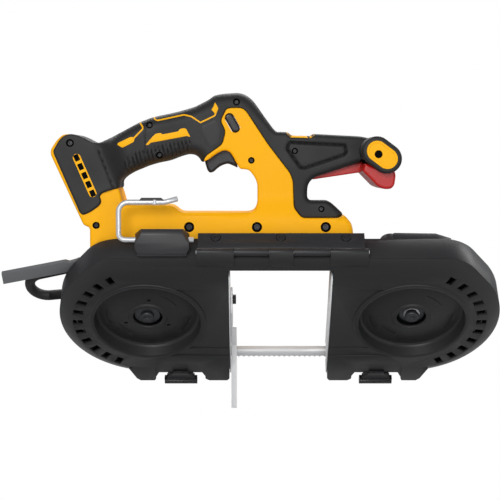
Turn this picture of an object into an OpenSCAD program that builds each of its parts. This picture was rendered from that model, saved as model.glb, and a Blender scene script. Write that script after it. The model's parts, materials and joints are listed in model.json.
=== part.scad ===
// Portable band saw: a tilted head with two wheels and a blade loop,
// a clamshell body with a rear trigger handle, and a front cross handle.
// X runs to the front of the saw, Z is up, and Y runs away from the cover side.

/* [Blade and wheels] */
// Distance between the two wheel axes
wheel_gap = 300; // [292:1:306]
// Radius of the blade's middle line round the wheels
blade_r = 86; // [84:0.5:87]
// Width of the blade band
blade_w = 12.7; // [11:0.1:13]
// Thickness of the blade band
blade_t = 0.65; // [0.5:0.05:0.9]
// Distance between two teeth of the blade
tooth_pitch = 6; // [4:0.5:8]
// Depth of the blade's middle behind the cover's face
blade_depth = 25; // [24.5:0.1:25.2]
// Thickness of the rubber tyre on each wheel
tyre_t = 2; // [1.5:0.1:2.5]
// Radius of both wheel shafts
shaft_r = 6; // [5:0.25:7]
// Radial clearance of a shaft in its bearing
running_fit = 0.05; // [0.03:0.01:0.08]

/* [Head] */
// Tilt of the head about the saw's long axis, in degrees
head_tilt = 45; // [45]
// Outer radius of each lobe of the head
lobe_r = 102; // [101:0.5:105]
// How far each lobe's centre lies inside its wheel axis
lobe_inset = 3; // [1:0.5:4]
// Height of the head's flat top above the wheel axes
head_top = 100; // [99:0.5:101]
// Drop of the feet below the wheel axes
foot_drop = 110; // [108:0.5:112]
// Drop of the head's lower edge at the latch notches
notch_drop = 98.2; // [97:0.2:99]
// Depth of the blade cover
cover_depth = 8; // [7:0.25:8.5]
// Distance from the blade's middle to the frame's back
head_behind = 12; // [11.5:0.25:14]
// Thickness of the frame's outer wall
frame_wall = 4; // [3:0.25:5]
// Thickness of the frame's back wall
back_wall = 3; // [2.5:0.25:3.5]
// Thickness of the cover's skin
cover_skin = 2.6; // [2:0.1:3]
// Width of the throat between the two lobes
throat_w = 114; // [110:1:118]
// Height of the throat's roof above the head's middle
throat_top = 62; // [56:1:64]
// Gap between pieces that move past each other
gap = 0.4; // [0.3:0.05:0.6]
// Gap between pieces fixed face to face
seat = 0.1; // [0.05:0.01:0.2]
// Radius of the cover's hinge pin
hinge_pin_r = 2; // [1.5:0.1:2.2]

/* [Guides and work stop] */
// Radius of the blade guide rollers
roller_r = 4.5; // [3.5:0.25:5]
// Distance from the throat's wall to the guide rollers
guide_in = 13; // [11:0.5:15]
// Drop of the work stop's feet below the head's middle
stop_drop = 108.5; // [100:0.5:115]
// Thickness of the work stop's sheet steel
stop_t = 2; // [1.5:0.1:2.5]
// Travel of the work stop
stop_travel = 12; // [6:1:14]
// Height of the work stop's clamp screw above the head's middle
stop_screw_z = 25; // [22:0.5:28]

/* [Drive] */
// Gear module of the first reduction
fast_module = 1; // [1]
// Gear module of the second reduction
slow_module = 1.5; // [1.5]
// Width of the large gears
gear_w = 6; // [5:0.5:7]
// Radius of the motor
motor_r = 25; // [22:0.5:26]
// Length of the motor's stator
motor_l = 31; // [24:1:33]

/* [Body] */
// Half the width of the battery foot
foot_half = 33; // [30:0.5:36]
// Half the width of the lower body
body_half = 31; // [29:0.5:32]
// Half the width of the front post
post_half = 22; // [20:0.5:24]
// Half the width of the rear handle
grip_half = 17.5; // [16:0.5:19]
// Half the width of the front arm
arm_half = 17.5; // [16:0.5:19]
// Wall of the body shells
shell_wall = 2.8; // [2.2:0.1:3.2]
// Thickness of the soft skin on the handle
skin = 2.5; // [2:0.1:3]

/* [Front handle] */
// Length of the cross handle without its end caps
cross_l = 124; // [110:1:134]
// Radius of the cross handle's round ends
cross_r = 16; // [14:0.5:17]
// Thickness of the cross handle's end caps
cap_t = 4; // [3:0.25:6]
// Half the width of the front switch paddle
paddle_half = 48; // [40:1:52]

/* [Hooks] */
// Radius of the hang hook's wire
wire_r = 2.85; // [2.5:0.05:3.2]
// Radius of the tether loop's coated wire
loop_r = 5.8; // [5:0.1:6]
// Thickness of the flat rafter hook
bar_t = 4; // [3:0.25:4.5]
// Width of the flat rafter hook
bar_w = 17.6; // [15:0.2:19]

/* [Hidden] */
$fn = 48;

big = 400;
head_depth = blade_depth + head_behind;
axle_x = wheel_gap / 2;
lobe_x = axle_x - lobe_inset;
frame_front = cover_depth + gap;
pocket_back = head_depth - back_wall;
throat_half = throat_w / 2;
blade_y = cos(head_tilt) * blade_depth + sin(head_tilt) * blade_r;
blade_z = sin(head_tilt) * blade_depth - cos(head_tilt) * blade_r;
inner_blade_r = blade_r - blade_t / 2;
// The row's origin is under the middle of the whole box
hook_slope = 15.7;
hook_reach = 92.8;
hook_x = axle_x + 72;
stop_back = 104;
hook_tip = (hook_reach + 5) * cos(hook_slope) - (bar_w / 2 - 0.4) * sin(hook_slope);
base_x = (lobe_x + lobe_r - hook_x - hook_tip) / 2;
base_y = (stop_back - cos(head_tilt) * (head_top - 2.2)) / 2;

module at_base() { translate([-base_x, -base_y, stop_drop]) children(); }
module head() { at_base() rotate([head_tilt, 0, 0]) children(); }
module upright() { rotate([-head_tilt, 0, 0]) children(); }

// Extrudes an outline drawn in X and the upward axis over a stretch of depth
module slab(d0, d1) { translate([0, d1, 0]) rotate([90, 0, 0]) linear_extrude(d1 - d0) children(); }
// A round bar along the depth axis
module rod(x, up, d0, d1, r) { translate([x, d0, up]) rotate([-90, 0, 0]) cylinder(r = r, h = d1 - d0); }
// A round bar along X
module bar_x(x0, x1, y, z, r) { translate([x0, y, z]) rotate([0, 90, 0]) cylinder(r = r, h = x1 - x0); }
// A block between two corners
module block(low, high) { translate(low) cube(high - low); }
// A profile drawn in depth and up, run along X
module run_x(x0, x1) {
    translate([x0, 0, 0]) rotate([90, 0, 90]) linear_extrude(x1 - x0) children();
}
// Both ends of the head
module both_ends() { children(); mirror([1, 0, 0]) children(); }
// A flat shape with two round ends
module obround(a, b, r) {
    d = b - a;
    n = [-d[1], d[0]] / norm(d) * (r - 0.03);
    translate(a) circle(r);
    translate(b) circle(r);
    polygon([a + n, b + n, b - n, a - n]);
}

// Head outline

corner_r = 45;
corner_x = lobe_x + 30;
foot_in = throat_half + 0.8;
notch_x = axle_x - 34.4;
notch_half = 25.4;

function turn(c, r, a) = [c[0] + r * cos(a), c[1] + r * sin(a)];

module lobe_shape(inset) {
    a = lobe_r - inset;
    b = corner_r - inset;
    ca = [lobe_x, 0];
    cb = [corner_x, head_top - corner_r];
    d = cb - ca;
    to = atan2(d[1], d[0]);
    open = acos((a - b) / norm(d));
    intersection() {
        union() {
            translate(ca) circle(a, $fn = 120);
            translate(cb) circle(b, $fn = 90);
            polygon([turn(ca, a, to + open), turn(cb, b, to + open), turn(cb, b, to - open), turn(ca, a, to - open)]);
        }
        translate([0, -big]) square([big, big + head_top - inset]);
    }
}

module foot_shapes() {
    out_x = notch_x + notch_half;
    in_x = notch_x - notch_half;
    polygon([[out_x, -notch_drop], [out_x + 5.3, -foot_drop], [out_x + 22, -foot_drop],
             [out_x + 26.4, -foot_drop + 4], [out_x + 34.7, -foot_drop + 23], [out_x, -foot_drop + 30]]);
    polygon([[in_x, -notch_drop], [in_x - 4.5, 2.8 - foot_drop], [in_x - 8.5, -foot_drop],
             [foot_in + 2.5, -foot_drop], [foot_in, 4 - foot_drop], [foot_in, -foot_drop + 30], [in_x, -foot_drop + 30]]);
}

module head_shape(inset) {
    difference() {
        both_ends() {
            lobe_shape(inset);
            translate([0, inset - notch_drop]) square([lobe_x, notch_drop + head_top - 2 * inset]);
            translate([0, head_top - corner_r]) square([corner_x, corner_r - inset]);
            if (inset == 0) foot_shapes();
        }
        both_ends() translate([notch_x - notch_half, -notch_drop - 20]) square([2 * notch_half, 20]);
    }
}

// The open throat, from its roof down
module throat_space(extra) {
    half = throat_half + extra;
    upright() block([-half, -big, -big], [half, big, throat_top + extra]);
}

// Frame

wall_in = throat_half + frame_wall;
channel_low = blade_r - 8;
channel_front = blade_depth - 11;
channel_back = blade_depth + blade_w / 2 + 1.2;
bearing_r = 11;
bearing_w = 8;
front_bearing = head_depth - 2;
slide_travel = 1.5;
slide_half = 19.6;
slide_back = head_depth + 9;
slide_rod = head_depth + 4.7;
slide_rod_r = 2.5;
lever_x = axle_x - 28;
lever_up = 80;
hook_up = 56;

module guide_hole() {
    x0 = throat_half - 2;
    upright() {
        block([wall_in - 1.5, blade_y - 13, blade_z - 12], [throat_half + guide_in + 12, blade_y + 30, blade_z + 23]);
        block([x0, blade_y - 7, blade_z - 10], [wall_in + 1, blade_y + 7, blade_z + 10]);
    }
}

module frame_housing() color("#2b2c2e") head() difference() {
    union() {
        slab(frame_front, head_depth) head_shape(0);
        rod(-axle_x, 0, pocket_back, front_bearing + bearing_w + 1, bearing_r + 4);
        // Guide rails of the tension slide
        for (s = [-1, 1])
            translate([axle_x - 45, head_depth - 1, s > 0 ? slide_half + gap : -slide_half - gap - 7])
                cube([90, slide_back - head_depth + 4, 7]);
        for (s = [-1, 1])
            translate([axle_x - 45, slide_back + gap, s > 0 ? slide_half - 3 : -slide_half - gap - 7])
                cube([90, 3, 10 + gap]);
        translate([axle_x + 38, head_depth - 1, -slide_half - gap - 1])
            cube([7, slide_back - head_depth + 4, 2 * slide_half + 2 * gap + 2]);
        rod(lever_x, lever_up, head_depth - 1, head_depth + 17, 5);
        rod(-hook_x, hook_up, head_depth - 1, head_depth + bar_t + 1.6, 4);
        // Sockets for the tether loop's ends
        for (up = [loop_low, loop_high])
            translate([-axle_x - 63.5, head_depth - 1, up - 9]) cube([13, 20, 18]);
    }
    both_ends() slab(frame_front - 1, pocket_back) {
        lobe_shape(frame_wall);
        translate([wall_in, frame_wall - notch_drop])
            square([lobe_x - wall_in, notch_drop + head_top - 2 * frame_wall]);
        translate([wall_in, head_top - corner_r]) square([corner_x - wall_in, corner_r - frame_wall]);
    }
    block([-wall_in - 1, channel_front, channel_low], [wall_in + 1, channel_back, head_top - frame_wall]);
    throat_space(seat / 2);
    both_ends() guide_hole();
    rod(-axle_x, 0, pocket_back - 1, front_bearing, shaft_r + 2);
    rod(-axle_x, 0, front_bearing, big, bearing_r + seat / 2);
    slab(pocket_back - 1, head_depth + 1) obround([axle_x - slide_travel, 0], [axle_x, 0], shaft_r + 1);
    bar_x(axle_x + 30, axle_x + 50, slide_rod, 0, slide_rod_r + gap);
    // Latch pivots in the notch sides
    both_ends() bar_x(notch_x - notch_half - 4, notch_x + notch_half + 4, latch_depth, -latch_drop, 3 + running_fit);
    // Rail screws, stop screw and tether loop ends
    for (x = rail_screw_x) translate([x, rail_screw_depth, head_top - 15]) cylinder(r = 1.75 + seat / 2, h = 20);
    upright() bar_x(-wall_in - 1, -throat_half + 1, stop_screw_y, stop_screw_z, 3 + seat / 2);
    for (up = [loop_low, loop_high])
        bar_x(-axle_x - 66, -axle_x - 55, loop_depth, up, loop_r + seat / 2);
}

// Hinge

hinge_depth = 13;
hinge_up = head_top + 4.6;
knuckle_r = 4.2;
knuckle_x = [-91.7, -50.9, -12.9, 13.7, 53.4, 95.2];
rail_x0 = -90.5;
rail_x1 = 91.7;
rail_screw_x = [-71, 0.3, 71.6];
rail_screw_depth = head_depth - 2.25;
rail_top = head_top + 4.6;

module knuckle(i) {
    difference() {
        bar_x(knuckle_x[i] + gap / 2, knuckle_x[i + 1] - gap / 2, hinge_depth, hinge_up, knuckle_r);
        children();
    }
}
module pin_bore() {
    bar_x(knuckle_x[0] - 5, knuckle_x[5] + 5, hinge_depth, hinge_up, hinge_pin_r + running_fit);
}

module hinge_rail() color("#303134") head() difference() {
    union() {
        run_x(rail_x0, rail_x1)
            polygon([[18.5, head_top + seat], [head_depth + seat, head_top + seat], [head_depth + seat, head_top - 4],
                     [head_depth + 5.5, head_top - 4], [head_depth + 5.5, rail_top - 1.6],
                     [head_depth + 4, rail_top], [20, rail_top], [18.5, rail_top - 1.6]]);
        for (i = [1, 3]) {
            knuckle(i);
            run_x(knuckle_x[i] + gap / 2, knuckle_x[i + 1] - gap / 2)
                polygon([[hinge_depth, head_top + seat + 0.3], [19, head_top + seat], [19, rail_top - 0.4],
                         [hinge_depth, hinge_up + knuckle_r]]);
        }
    }
    pin_bore();
    for (x = rail_screw_x) translate([x, rail_screw_depth, head_top - 1]) {
        cylinder(r = 1.85, h = 10);
        translate([0, 0, 3.2]) cylinder(r = 5.6, h = 10);
    }
}

module rail_screws() color("#202124") head() for (x = rail_screw_x) difference() {
    translate([x, rail_screw_depth, head_top - 12]) {
        cylinder(r = 1.75, h = 15);
        translate([0, 0, 14.3]) cylinder(r = 4.9, h = 2.6);
    }
    translate([x, rail_screw_depth, head_top + 3.2]) cylinder(r = 2, h = 5, $fn = 6);
}

module cover_hinge_pin() color("#c9ccd0") head()
    bar_x(knuckle_x[0] - 0.5, knuckle_x[5] + 0.5, hinge_depth, hinge_up, hinge_pin_r);

// Blade cover

bevel = 14;
top_bevel = 26.3;
cover_throat = throat_half + 0.6;
dish_x = axle_x - 0.7;
vent_r = 81;
vent_step = 12.2;
panel_deep = 1.8;
recess_deep = 3;

// Half of the cover's bevelled body, grown or shrunk by an inset
module cover_lobe(inset, d0) {
    f = (cover_depth - d0) / cover_depth;
    hull() {
        translate([lobe_x, d0, 0]) rotate([-90, 0, 0])
            cylinder(r1 = lobe_r - bevel * f - inset, r2 = lobe_r - inset, h = cover_depth - d0, $fn = 96);
        translate([corner_x, d0, head_top - corner_r]) rotate([-90, 0, 0])
            cylinder(r1 = corner_r - bevel * f - inset, r2 = corner_r - inset, h = cover_depth - d0, $fn = 48);
    }
}
module cover_spine(inset, d0) {
    f = (cover_depth - d0) / cover_depth;
    run_x(0, corner_x) polygon([[d0, head_top - top_bevel * f - inset], [cover_depth, head_top - inset],
                                [cover_depth, inset - notch_drop], [d0, inset - notch_drop]]);
}
module cover_half(inset, d0) {
    intersection() {
        union() {
            cover_lobe(inset, d0);
            intersection() {
                cover_spine(inset, d0);
                block([0, d0, -big], [lobe_x, cover_depth, big]);
            }
            intersection() {
                cover_spine(inset, d0);
                block([0, d0, head_top - corner_r], [corner_x, cover_depth, big]);
            }
            if (inset == 0) slab(d0, cover_depth) foot_shapes();
        }
        cover_top_plane(inset, d0);
    }
}
// Keeps everything under the sloping band along the top
module cover_top_plane(inset, d0) {
    f = (cover_depth - d0) / cover_depth;
    run_x(-1, big) polygon([[d0, head_top - top_bevel * f - inset], [cover_depth, head_top - inset],
                            [cover_depth, -big], [d0, -big]]);
}

module dish_profile() {
    polygon([[63, -1], [60.4, -0.8], [60, 4], [59.4, 9.4], [58.2, 12.2], [56, 13.6], [52, 13.4], [46, 12.2], [38, 10.4], [28, 8.6],
             [22.4, 8], [21, 6.4], [17.4, 6.4], [16.6, 7.2], [16.6, 9.4], [19, 10.6], [28, 11], [38, 12.8],
             [46, 14.6], [52, 15.7], [57.4, 15.9], [60.8, 13.4], [62, 8], [63, 3]]);
}
module dish_turned(angle) { rotate([-90, 0, 0]) rotate_extrude(angle = angle, $fn = 96) children(); }

module vent_slots() {
    for (i = [-5:5]) translate([lobe_x, 0, 0]) rotate([0, -i * vent_step, 0])
        translate([vent_r, 0, 0]) block([-5.6, -3, -3.9], [5.6, cover_depth + 2, 3.9]);
}

module latch_recess(d0, d1, grow) {
    half = notch_half + 3.8 + grow;
    slab(d0, d1) translate([notch_x, 0])
        polygon([[-half, -foot_drop - 1], [-half, -85], [7 - half, -77.3 + grow], [half - 7, -77.3 + grow], [half, -85],
                 [half, -foot_drop - 1]]);
}

module cover_end(rear) {
    difference() {
        cover_half(0, 0);
        difference() {
            cover_half(cover_skin + 1.4, cover_skin);
            translate([lobe_x, 0, 0]) rotate([-90, 0, 0]) cylinder(r = 63, h = 3.2);
            latch_recess(0, recess_deep + cover_skin, 3);
            translate([0, 0, 0]) block([cover_throat, 0, -foot_drop], [cover_throat + 4, cover_depth + 1, 60]);
            block([cover_throat, 0, -66], [dish_x, panel_deep + cover_skin, 60]);
        }
        translate([0, cover_skin + 1.4, 0]) slab(0, cover_depth) offset(delta = -3) foot_shapes();
        translate([dish_x, 0, 0]) rod(0, 0, -2, cover_depth + 1, 62.4);
        vent_slots();
        latch_recess(-1, recess_deep, 0);
        block([notch_x - notch_half, -1, -notch_drop - 30], [notch_x + notch_half, cover_depth + 1, -notch_drop]);
        // The panel beside the throat and the step under it
        difference() {
            union() {
                block([cover_throat - 2, -1, -49.3], [dish_x, panel_deep, 56.8]);
                block([cover_throat - 2, -1, -62.6], [dish_x, 1, -49]);
            }
            translate([dish_x, 0, 0]) rod(0, 0, -2, cover_depth, 66);
        }
    }
    // The dish over the wheel, with its raised rim
    translate([dish_x, 0, 0]) difference() {
        union() {
            dish_turned(360) dish_profile();
            dish_turned(360) polygon([[62, -1], [65.2, -1], [65.8, -0.4], [65.8, 1], [62, 1]]);
        }
        if (rear) for (a = [95, 215, 335]) rotate([0, -a, 0]) rod(28, 0, 0, 20, 2.2);
        // Fine grooves in the dish's floor, two near the middle and three near its wall
        for (a = rear ? [152, 336] : [66, 246]) rotate([0, -a, 0]) dish_turned(36) translate([36.4, 9]) square([0.9, 2]);
        for (a = rear ? [10, 220, 294] : [212, 282, 358]) rotate([0, -a, 0]) dish_turned(30) translate([47.6, 11]) square([0.9, 2.3]);
    }
}

module blade_cover() color("#2a2b2d") head() difference() {
    union() {
        difference() {
            union() {
                cover_end(false);
                mirror([1, 0, 0]) cover_end(true);
            }
            throat_space(0.6);
        }
        for (i = [0, 2, 4]) {
            knuckle(i);
            run_x(knuckle_x[i] + gap / 2, knuckle_x[i + 1] - gap / 2)
                polygon([[4.6, head_top - 10], [cover_depth, head_top - 6], [cover_depth, head_top + gap],
                         [hinge_depth, head_top + gap], [hinge_depth, hinge_up + knuckle_r],
                         [10, hinge_up + 3.2], [6, head_top + 2.4], [4, head_top - 8]]);
        }
    }
    pin_bore();
}

// Cover latches

latch_depth = 24;
latch_drop = 103;

module cover_latch() {
    half = notch_half - 6;
    difference() {
        union() {
            run_x(notch_x - half + 4.4, notch_x + half - 4.4)
                polygon([[1.6, -foot_drop + 4], [1.6, gap - notch_drop - 0.6], [latch_depth, gap - notch_drop - 0.8],
                         [latch_depth, -latch_drop - 4], [8, -foot_drop + 1]]);
            block([notch_x - half, 0.8, -foot_drop - 7.6], [notch_x + half, 7.5, -foot_drop + 1]);
            block([notch_x - half + 3, 1.6, -foot_drop], [notch_x + half - 3, 7, -foot_drop + 5]);
            block([notch_x - 9, 0.8, -notch_drop - 2], [notch_x + 9, recess_deep - gap, -notch_drop + 4]);
            bar_x(notch_x - half + 4.4, notch_x + half - 4.4, latch_depth, -latch_drop, 4);
            bar_x(notch_x - notch_half - 3, notch_x + notch_half + 3, latch_depth, -latch_drop, 3);
        }
        // Finger groove under the lip
        bar_x(notch_x - half - 1, notch_x + half + 1, 0.8, -foot_drop - 1.4, 1.6);
    }
}
module rear_cover_latch() color("#1b1b1f") head() mirror([1, 0, 0]) cover_latch();
module front_cover_latch() color("#1b1b1f") head() cover_latch();

// Blade guides, drawn for the front end

roller_x = throat_half + guide_in;
roller_y = blade_t / 2 + 0.3 + roller_r;
roller_low = blade_z - 2.2;
roller_high = blade_z + blade_w / 2;
guide_low = roller_high + gap;

module blade_guide() head() {
    difference() {
        union() {
            upright() {
                block([roller_x - 8, blade_y - 11, guide_low], [roller_x + 8.5, blade_y + 11, guide_low + 12]);
                for (s = [-1, 1]) translate([roller_x, blade_y + s * roller_y, roller_low - 0.6])
                    cylinder(r = 2, h = roller_high - roller_low + 2);
            }
            block([roller_x - 10, head_depth + seat, -96], [roller_x + 22, head_depth + 4, -44]);
        }
        // Two screw holes of the mounting plate
        for (up = [-50, -58]) rod(roller_x + 17, up, head_depth - 1, head_depth + 6, 2.2);
        throat_space(seat);
    }
}
module rear_blade_guide() color("#8d9094") mirror_x() blade_guide();
module front_blade_guide() color("#8d9094") blade_guide();
module mirror_x() { translate([-2 * base_x, 0, 0]) mirror([1, 0, 0]) children(); }

module roller(x, side) color("#b9bcc0") at_base() translate([x, blade_y + side * roller_y, roller_low])
    difference() {
        cylinder(r = roller_r, h = roller_high - roller_low);
        translate([0, 0, -1]) cylinder(r = 2 + running_fit, h = 20);
    }
module rear_near_roller() roller(-roller_x, -1);
module rear_far_roller() roller(-roller_x, 1);
module front_near_roller() roller(roller_x, -1);
module front_far_roller() roller(roller_x, 1);

// Work stop

liner_t = 1.2;
stop_x = -throat_half + liner_t + gap;
stop_screw_y = 12;
stop_flange = 6.4;

module stop_outline() {
    difference() {
        polygon([[2, 38.6], [2, 10], [64, -34], [64, -stop_drop], [blade_y - 3, -stop_drop],
                 [blade_y - 3, -28], [blade_y + 3, -28], [blade_y + 3, -stop_drop], [stop_back, -stop_drop],
                 [stop_back, -44], [22, 38.6]]);
        obround([stop_screw_y, stop_screw_z], [stop_screw_y, stop_screw_z - stop_travel], 3 + gap);
    }
}
module work_stop() color("#c2c4c6") at_base() {
    run_x(stop_x, stop_x + stop_t) stop_outline();
    run_x(stop_x, stop_x + stop_flange)
        polygon([[27.4, -8], [29.2, -7.3], [65.6, -33.2], [65.6, -stop_drop], [64, -stop_drop], [64, -34]]);
}
module work_stop_screw() color("#8a7a5a") at_base() difference() {
    union() {
        bar_x(-wall_in + 0.5, stop_x + stop_t + 1, stop_screw_y, stop_screw_z, 3);
        bar_x(stop_x + stop_t + seat, stop_x + stop_t + 4, stop_screw_y, stop_screw_z, 5.4);
    }
    bar_x(stop_x + stop_t + 1.8, stop_x + stop_t + 5, stop_screw_y, stop_screw_z, 2.4, $fn = 6);
}

module throat_liners() color("#b4b6b8") head() difference() {
    for (s = [-1, 1]) slab(1.4, head_depth - 1) translate([s * (throat_half - liner_t / 2), 0])
        translate([-liner_t / 2, -foot_drop + 14]) square([liner_t, foot_drop + 60]);
    upright() block([-big, -big, throat_top - 0.4], [big, big, big]);
    both_ends() guide_hole();
    upright() bar_x(-big, 0, stop_screw_y, stop_screw_z, 3 + gap);
    block([-big, blade_depth - 1, -foot_drop], [big, head_depth, -blade_r + 3.1]);
}

// Saw blade

twist_from = axle_x;
twist_to = throat_half + guide_in + 6;
twist_steps = 10;
teeth_from = -throat_half - 2;
teeth_n = floor((throat_w + 4) / tooth_pitch);
tooth_deep = 1.1;

// Cross section of the band at a turn of a degrees from the wheel's plane
function band_ring(x, a) =
    let (c = [blade_depth, -blade_r],
         u = [cos(a), sin(a)] * blade_w / 2,
         n = [-sin(a), cos(a)] * blade_t / 2)
    [for (p = [c - u - n, c + u - n, c + u + n, c - u + n]) [x, p[0], p[1]]];

module twisted_band(x0, x1) {
    n = twist_steps;
    points = [for (i = [0:n]) each band_ring(x0 + (x1 - x0) * i / n, head_tilt * i / n)];
    faces = concat([[0, 1, 2, 3]], [[4 * n + 3, 4 * n + 2, 4 * n + 1, 4 * n]],
        [for (i = [0:n - 1], j = [0:3]) let (a = 4 * i + j, b = 4 * i + (j + 1) % 4) [b, a, a + 4]],
        [for (i = [0:n - 1], j = [0:3]) let (a = 4 * i + j, b = 4 * i + (j + 1) % 4) [b, a + 4, b + 4]]);
    polyhedron(points, faces);
}

module saw_blade() color("#a9abad") head() {
    block([-axle_x, blade_depth - blade_w / 2, blade_r - blade_t / 2],
          [axle_x, blade_depth + blade_w / 2, blade_r + blade_t / 2]);
    for (s = [-1, 1]) translate([s * axle_x, blade_depth - blade_w / 2, 0]) rotate([-90, 0, 0])
        rotate([0, 0, s > 0 ? -90 : 90]) rotate_extrude(angle = 180, $fn = 120)
            translate([inner_blade_r, 0]) square([blade_t, blade_w]);
    twisted_band(-twist_from, -twist_to);
    mirror([1, 0, 0]) mirror_faces();
    upright() slab(blade_y - blade_t / 2, blade_y + blade_t / 2)
        polygon(concat([[twist_to, blade_z - blade_w / 2], [twist_to, blade_z + blade_w / 2],
                        [-twist_to, blade_z + blade_w / 2], [-twist_to, blade_z - blade_w / 2]],
            [for (i = [0:teeth_n - 1]) let (x = teeth_from + i * tooth_pitch) each
                [[x, blade_z - blade_w / 2], [x + tooth_pitch * 0.35, blade_z - blade_w / 2 + tooth_deep],
                 [x + tooth_pitch * 0.75, blade_z - blade_w / 2 + tooth_deep]]],
            [[teeth_from + teeth_n * tooth_pitch, blade_z - blade_w / 2]]));
}
module mirror_faces() { twisted_band(-twist_from, -twist_to); }

// Gears

pressure = 25;
function inv_point(rb, t) = [rb * (cos(t) + t * PI / 180 * sin(t)), rb * (sin(t) - t * PI / 180 * cos(t))];
function roll_angle(rb, r) = sqrt(max(0, r * r / (rb * rb) - 1)) * 180 / PI;
function spun(p, a) = [p[0] * cos(a) - p[1] * sin(a), p[0] * sin(a) + p[1] * cos(a)];

// One gear with its first tooth centred on the first axis
module gear_shape(m, teeth, backlash) {
    r = m * teeth / 2;
    rb = r * cos(pressure);
    tip = r + 0.8 * m;
    root = r - 1.25 * m;
    start = max(rb, root);
    tp = roll_angle(rb, r);
    at_pitch = inv_point(rb, tp);
    half = 90 / teeth - backlash / (2 * r) * 180 / PI + atan2(at_pitch[1], at_pitch[0]);
    t0 = roll_angle(rb, start);
    t1 = roll_angle(rb, tip);
    flank = [for (i = [0:4]) inv_point(rb, t0 + (t1 - t0) * i / 4)];
    polygon([for (k = [0:teeth - 1]) let (a = k * 360 / teeth) each concat(
        root < rb ? [spun([root, 0], a - half)] : [],
        [for (p = flank) spun(p, a - half)],
        [for (i = [4:-1:0]) spun([flank[i][0], -flank[i][1]], a + half)],
        root < rb ? [spun([root, 0], a + half)] : [])]);
}

drive_teeth = 55;
slow_pinion = 11;
fast_teeth = 54;
motor_teeth = 9;
backlash = 0.16;
slow_centre = slow_module * (drive_teeth + slow_pinion) / 2;
fast_centre = fast_module * (fast_teeth + motor_teeth) / 2;
slow_angle = 44;
fast_angle = 166;
mid_x = -axle_x + slow_centre * cos(slow_angle);
mid_up = slow_centre * sin(slow_angle);
motor_x = mid_x + fast_centre * cos(fast_angle);
motor_up = mid_up + fast_centre * sin(fast_angle);
slow_d0 = head_depth + 9;
slow_d1 = slow_d0 + gear_w + 2;
fast_d0 = slow_d1 + 1.5;
fast_d1 = fast_d0 + gear_w;
case_back = fast_d1 + 1.5;
case_end = case_back + 4;

module geared(x, up, d0, d1, m, teeth, spin) {
    translate([x, 0, up]) slab(d0, d1) rotate(spin) gear_shape(m, teeth, backlash);
}

// Drive end

rim_front = blade_depth - 4.5;
rim_back = blade_depth + blade_w / 2 + 1.6;
wheel_r = inner_blade_r - tyre_t - 0.3;
tyre_back = blade_depth + blade_w / 2 - 0.8;
flange_front = blade_depth + blade_w / 2 + 0.35;

module wheel(bore, hub_r, hub_front) {
    difference() {
        rotate([-90, 0, 0]) rotate_extrude($fn = 96)
            polygon([[bore, hub_front], [hub_r, hub_front], [hub_r + 0.6, blade_depth - 8], [hub_r + 3, blade_depth - 5],
                     [50, blade_depth - 3],
                     [wheel_r - 9, blade_depth - 3], [wheel_r - 6, rim_front], [wheel_r, rim_front], [wheel_r, tyre_back],
                     [wheel_r, flange_front],
                     [wheel_r + tyre_t + 1.6, flange_front], [wheel_r + tyre_t + 1.6, rim_back],
                     [wheel_r - 6, rim_back], [wheel_r - 9, blade_depth + 0.4], [50, blade_depth + 0.4],
                     [hub_r + 3, blade_depth + 0.4],
                     [hub_r + 1, rim_back], [bore, rim_back]]);
        for (a = [0:60:300]) rotate([0, a, 0]) rod(50, 0, 10, 40, 11);
    }
}
module tyre() { rotate([-90, 0, 0]) rotate_extrude($fn = 96) polygon([[wheel_r + 0.02, rim_front],
    [wheel_r + tyre_t - 0.2, rim_front], [wheel_r + tyre_t, rim_front + 0.5], [wheel_r + tyre_t, tyre_back - 0.1],
    [wheel_r + 0.02, tyre_back - 0.1]]); }

module drive_wheel() color("#55585c") head() translate([-axle_x, 0, 0]) wheel(shaft_r + 0.02, 14.5, 10);
module drive_tyre() color("#1d1d1f") head() translate([-axle_x, 0, 0]) tyre();
module drive_wheel_bolt() color("#5d5f62") head() difference() {
    union() {
        rod(-axle_x, 0, 6, 9.9, 7.4);
        rod(-axle_x, 0, 9.8, 24, 2.95);
    }
    translate([-axle_x, 5, 0]) rotate([-90, 0, 0]) cylinder(r = 3.5, h = 3.6, $fn = 6);
}
module drive_shaft() color("#c4c6c8") head() difference() {
    union() {
        rod(-axle_x, 0, 12.5, case_back - 0.6, shaft_r);
        rod(-axle_x, 0, rim_back + 0.1, front_bearing - 0.1, shaft_r + 1.6);
    }
    rod(-axle_x, 0, 12, 26, 3);
}
module drive_gear() color("#8f9194") head() difference() {
    union() {
        geared(-axle_x, 0, slow_d0, slow_d1, slow_module, drive_teeth, slow_angle);
        rod(-axle_x, 0, slow_d0 - 1, slow_d1 + 1, 12);
    }
    rod(-axle_x, 0, slow_d0 - 3, slow_d1 + 3, shaft_r + 0.02);
    for (a = [0:60:300]) translate([-axle_x, 0, 0]) rotate([0, a, 0]) rod(26, 0, slow_d0 - 1, slow_d1 + 1, 7);
}
module bearing(x, up, d0, d1, r_in, r_out) difference() {
    rod(x, up, d0, d1, r_out);
    rod(x, up, d0 - 1, d1 + 1, r_in + running_fit);
    for (d = [d0 - 1, d1 - 0.6]) difference() {
        rod(x, up, d, d + 1.6, r_out * 0.4 + r_in * 0.6 + 1.6);
        rod(x, up, d - 1, d + 3, r_out * 0.4 + r_in * 0.6);
    }
}
module drive_bearings() color("#d2d4d6") head() {
    bearing(-axle_x, 0, front_bearing + 0.05, front_bearing + bearing_w, shaft_r, bearing_r);
    bearing(-axle_x, 0, case_back - 7, case_back - 0.3, shaft_r, bearing_r);
}

// Idler end and blade tension

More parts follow.
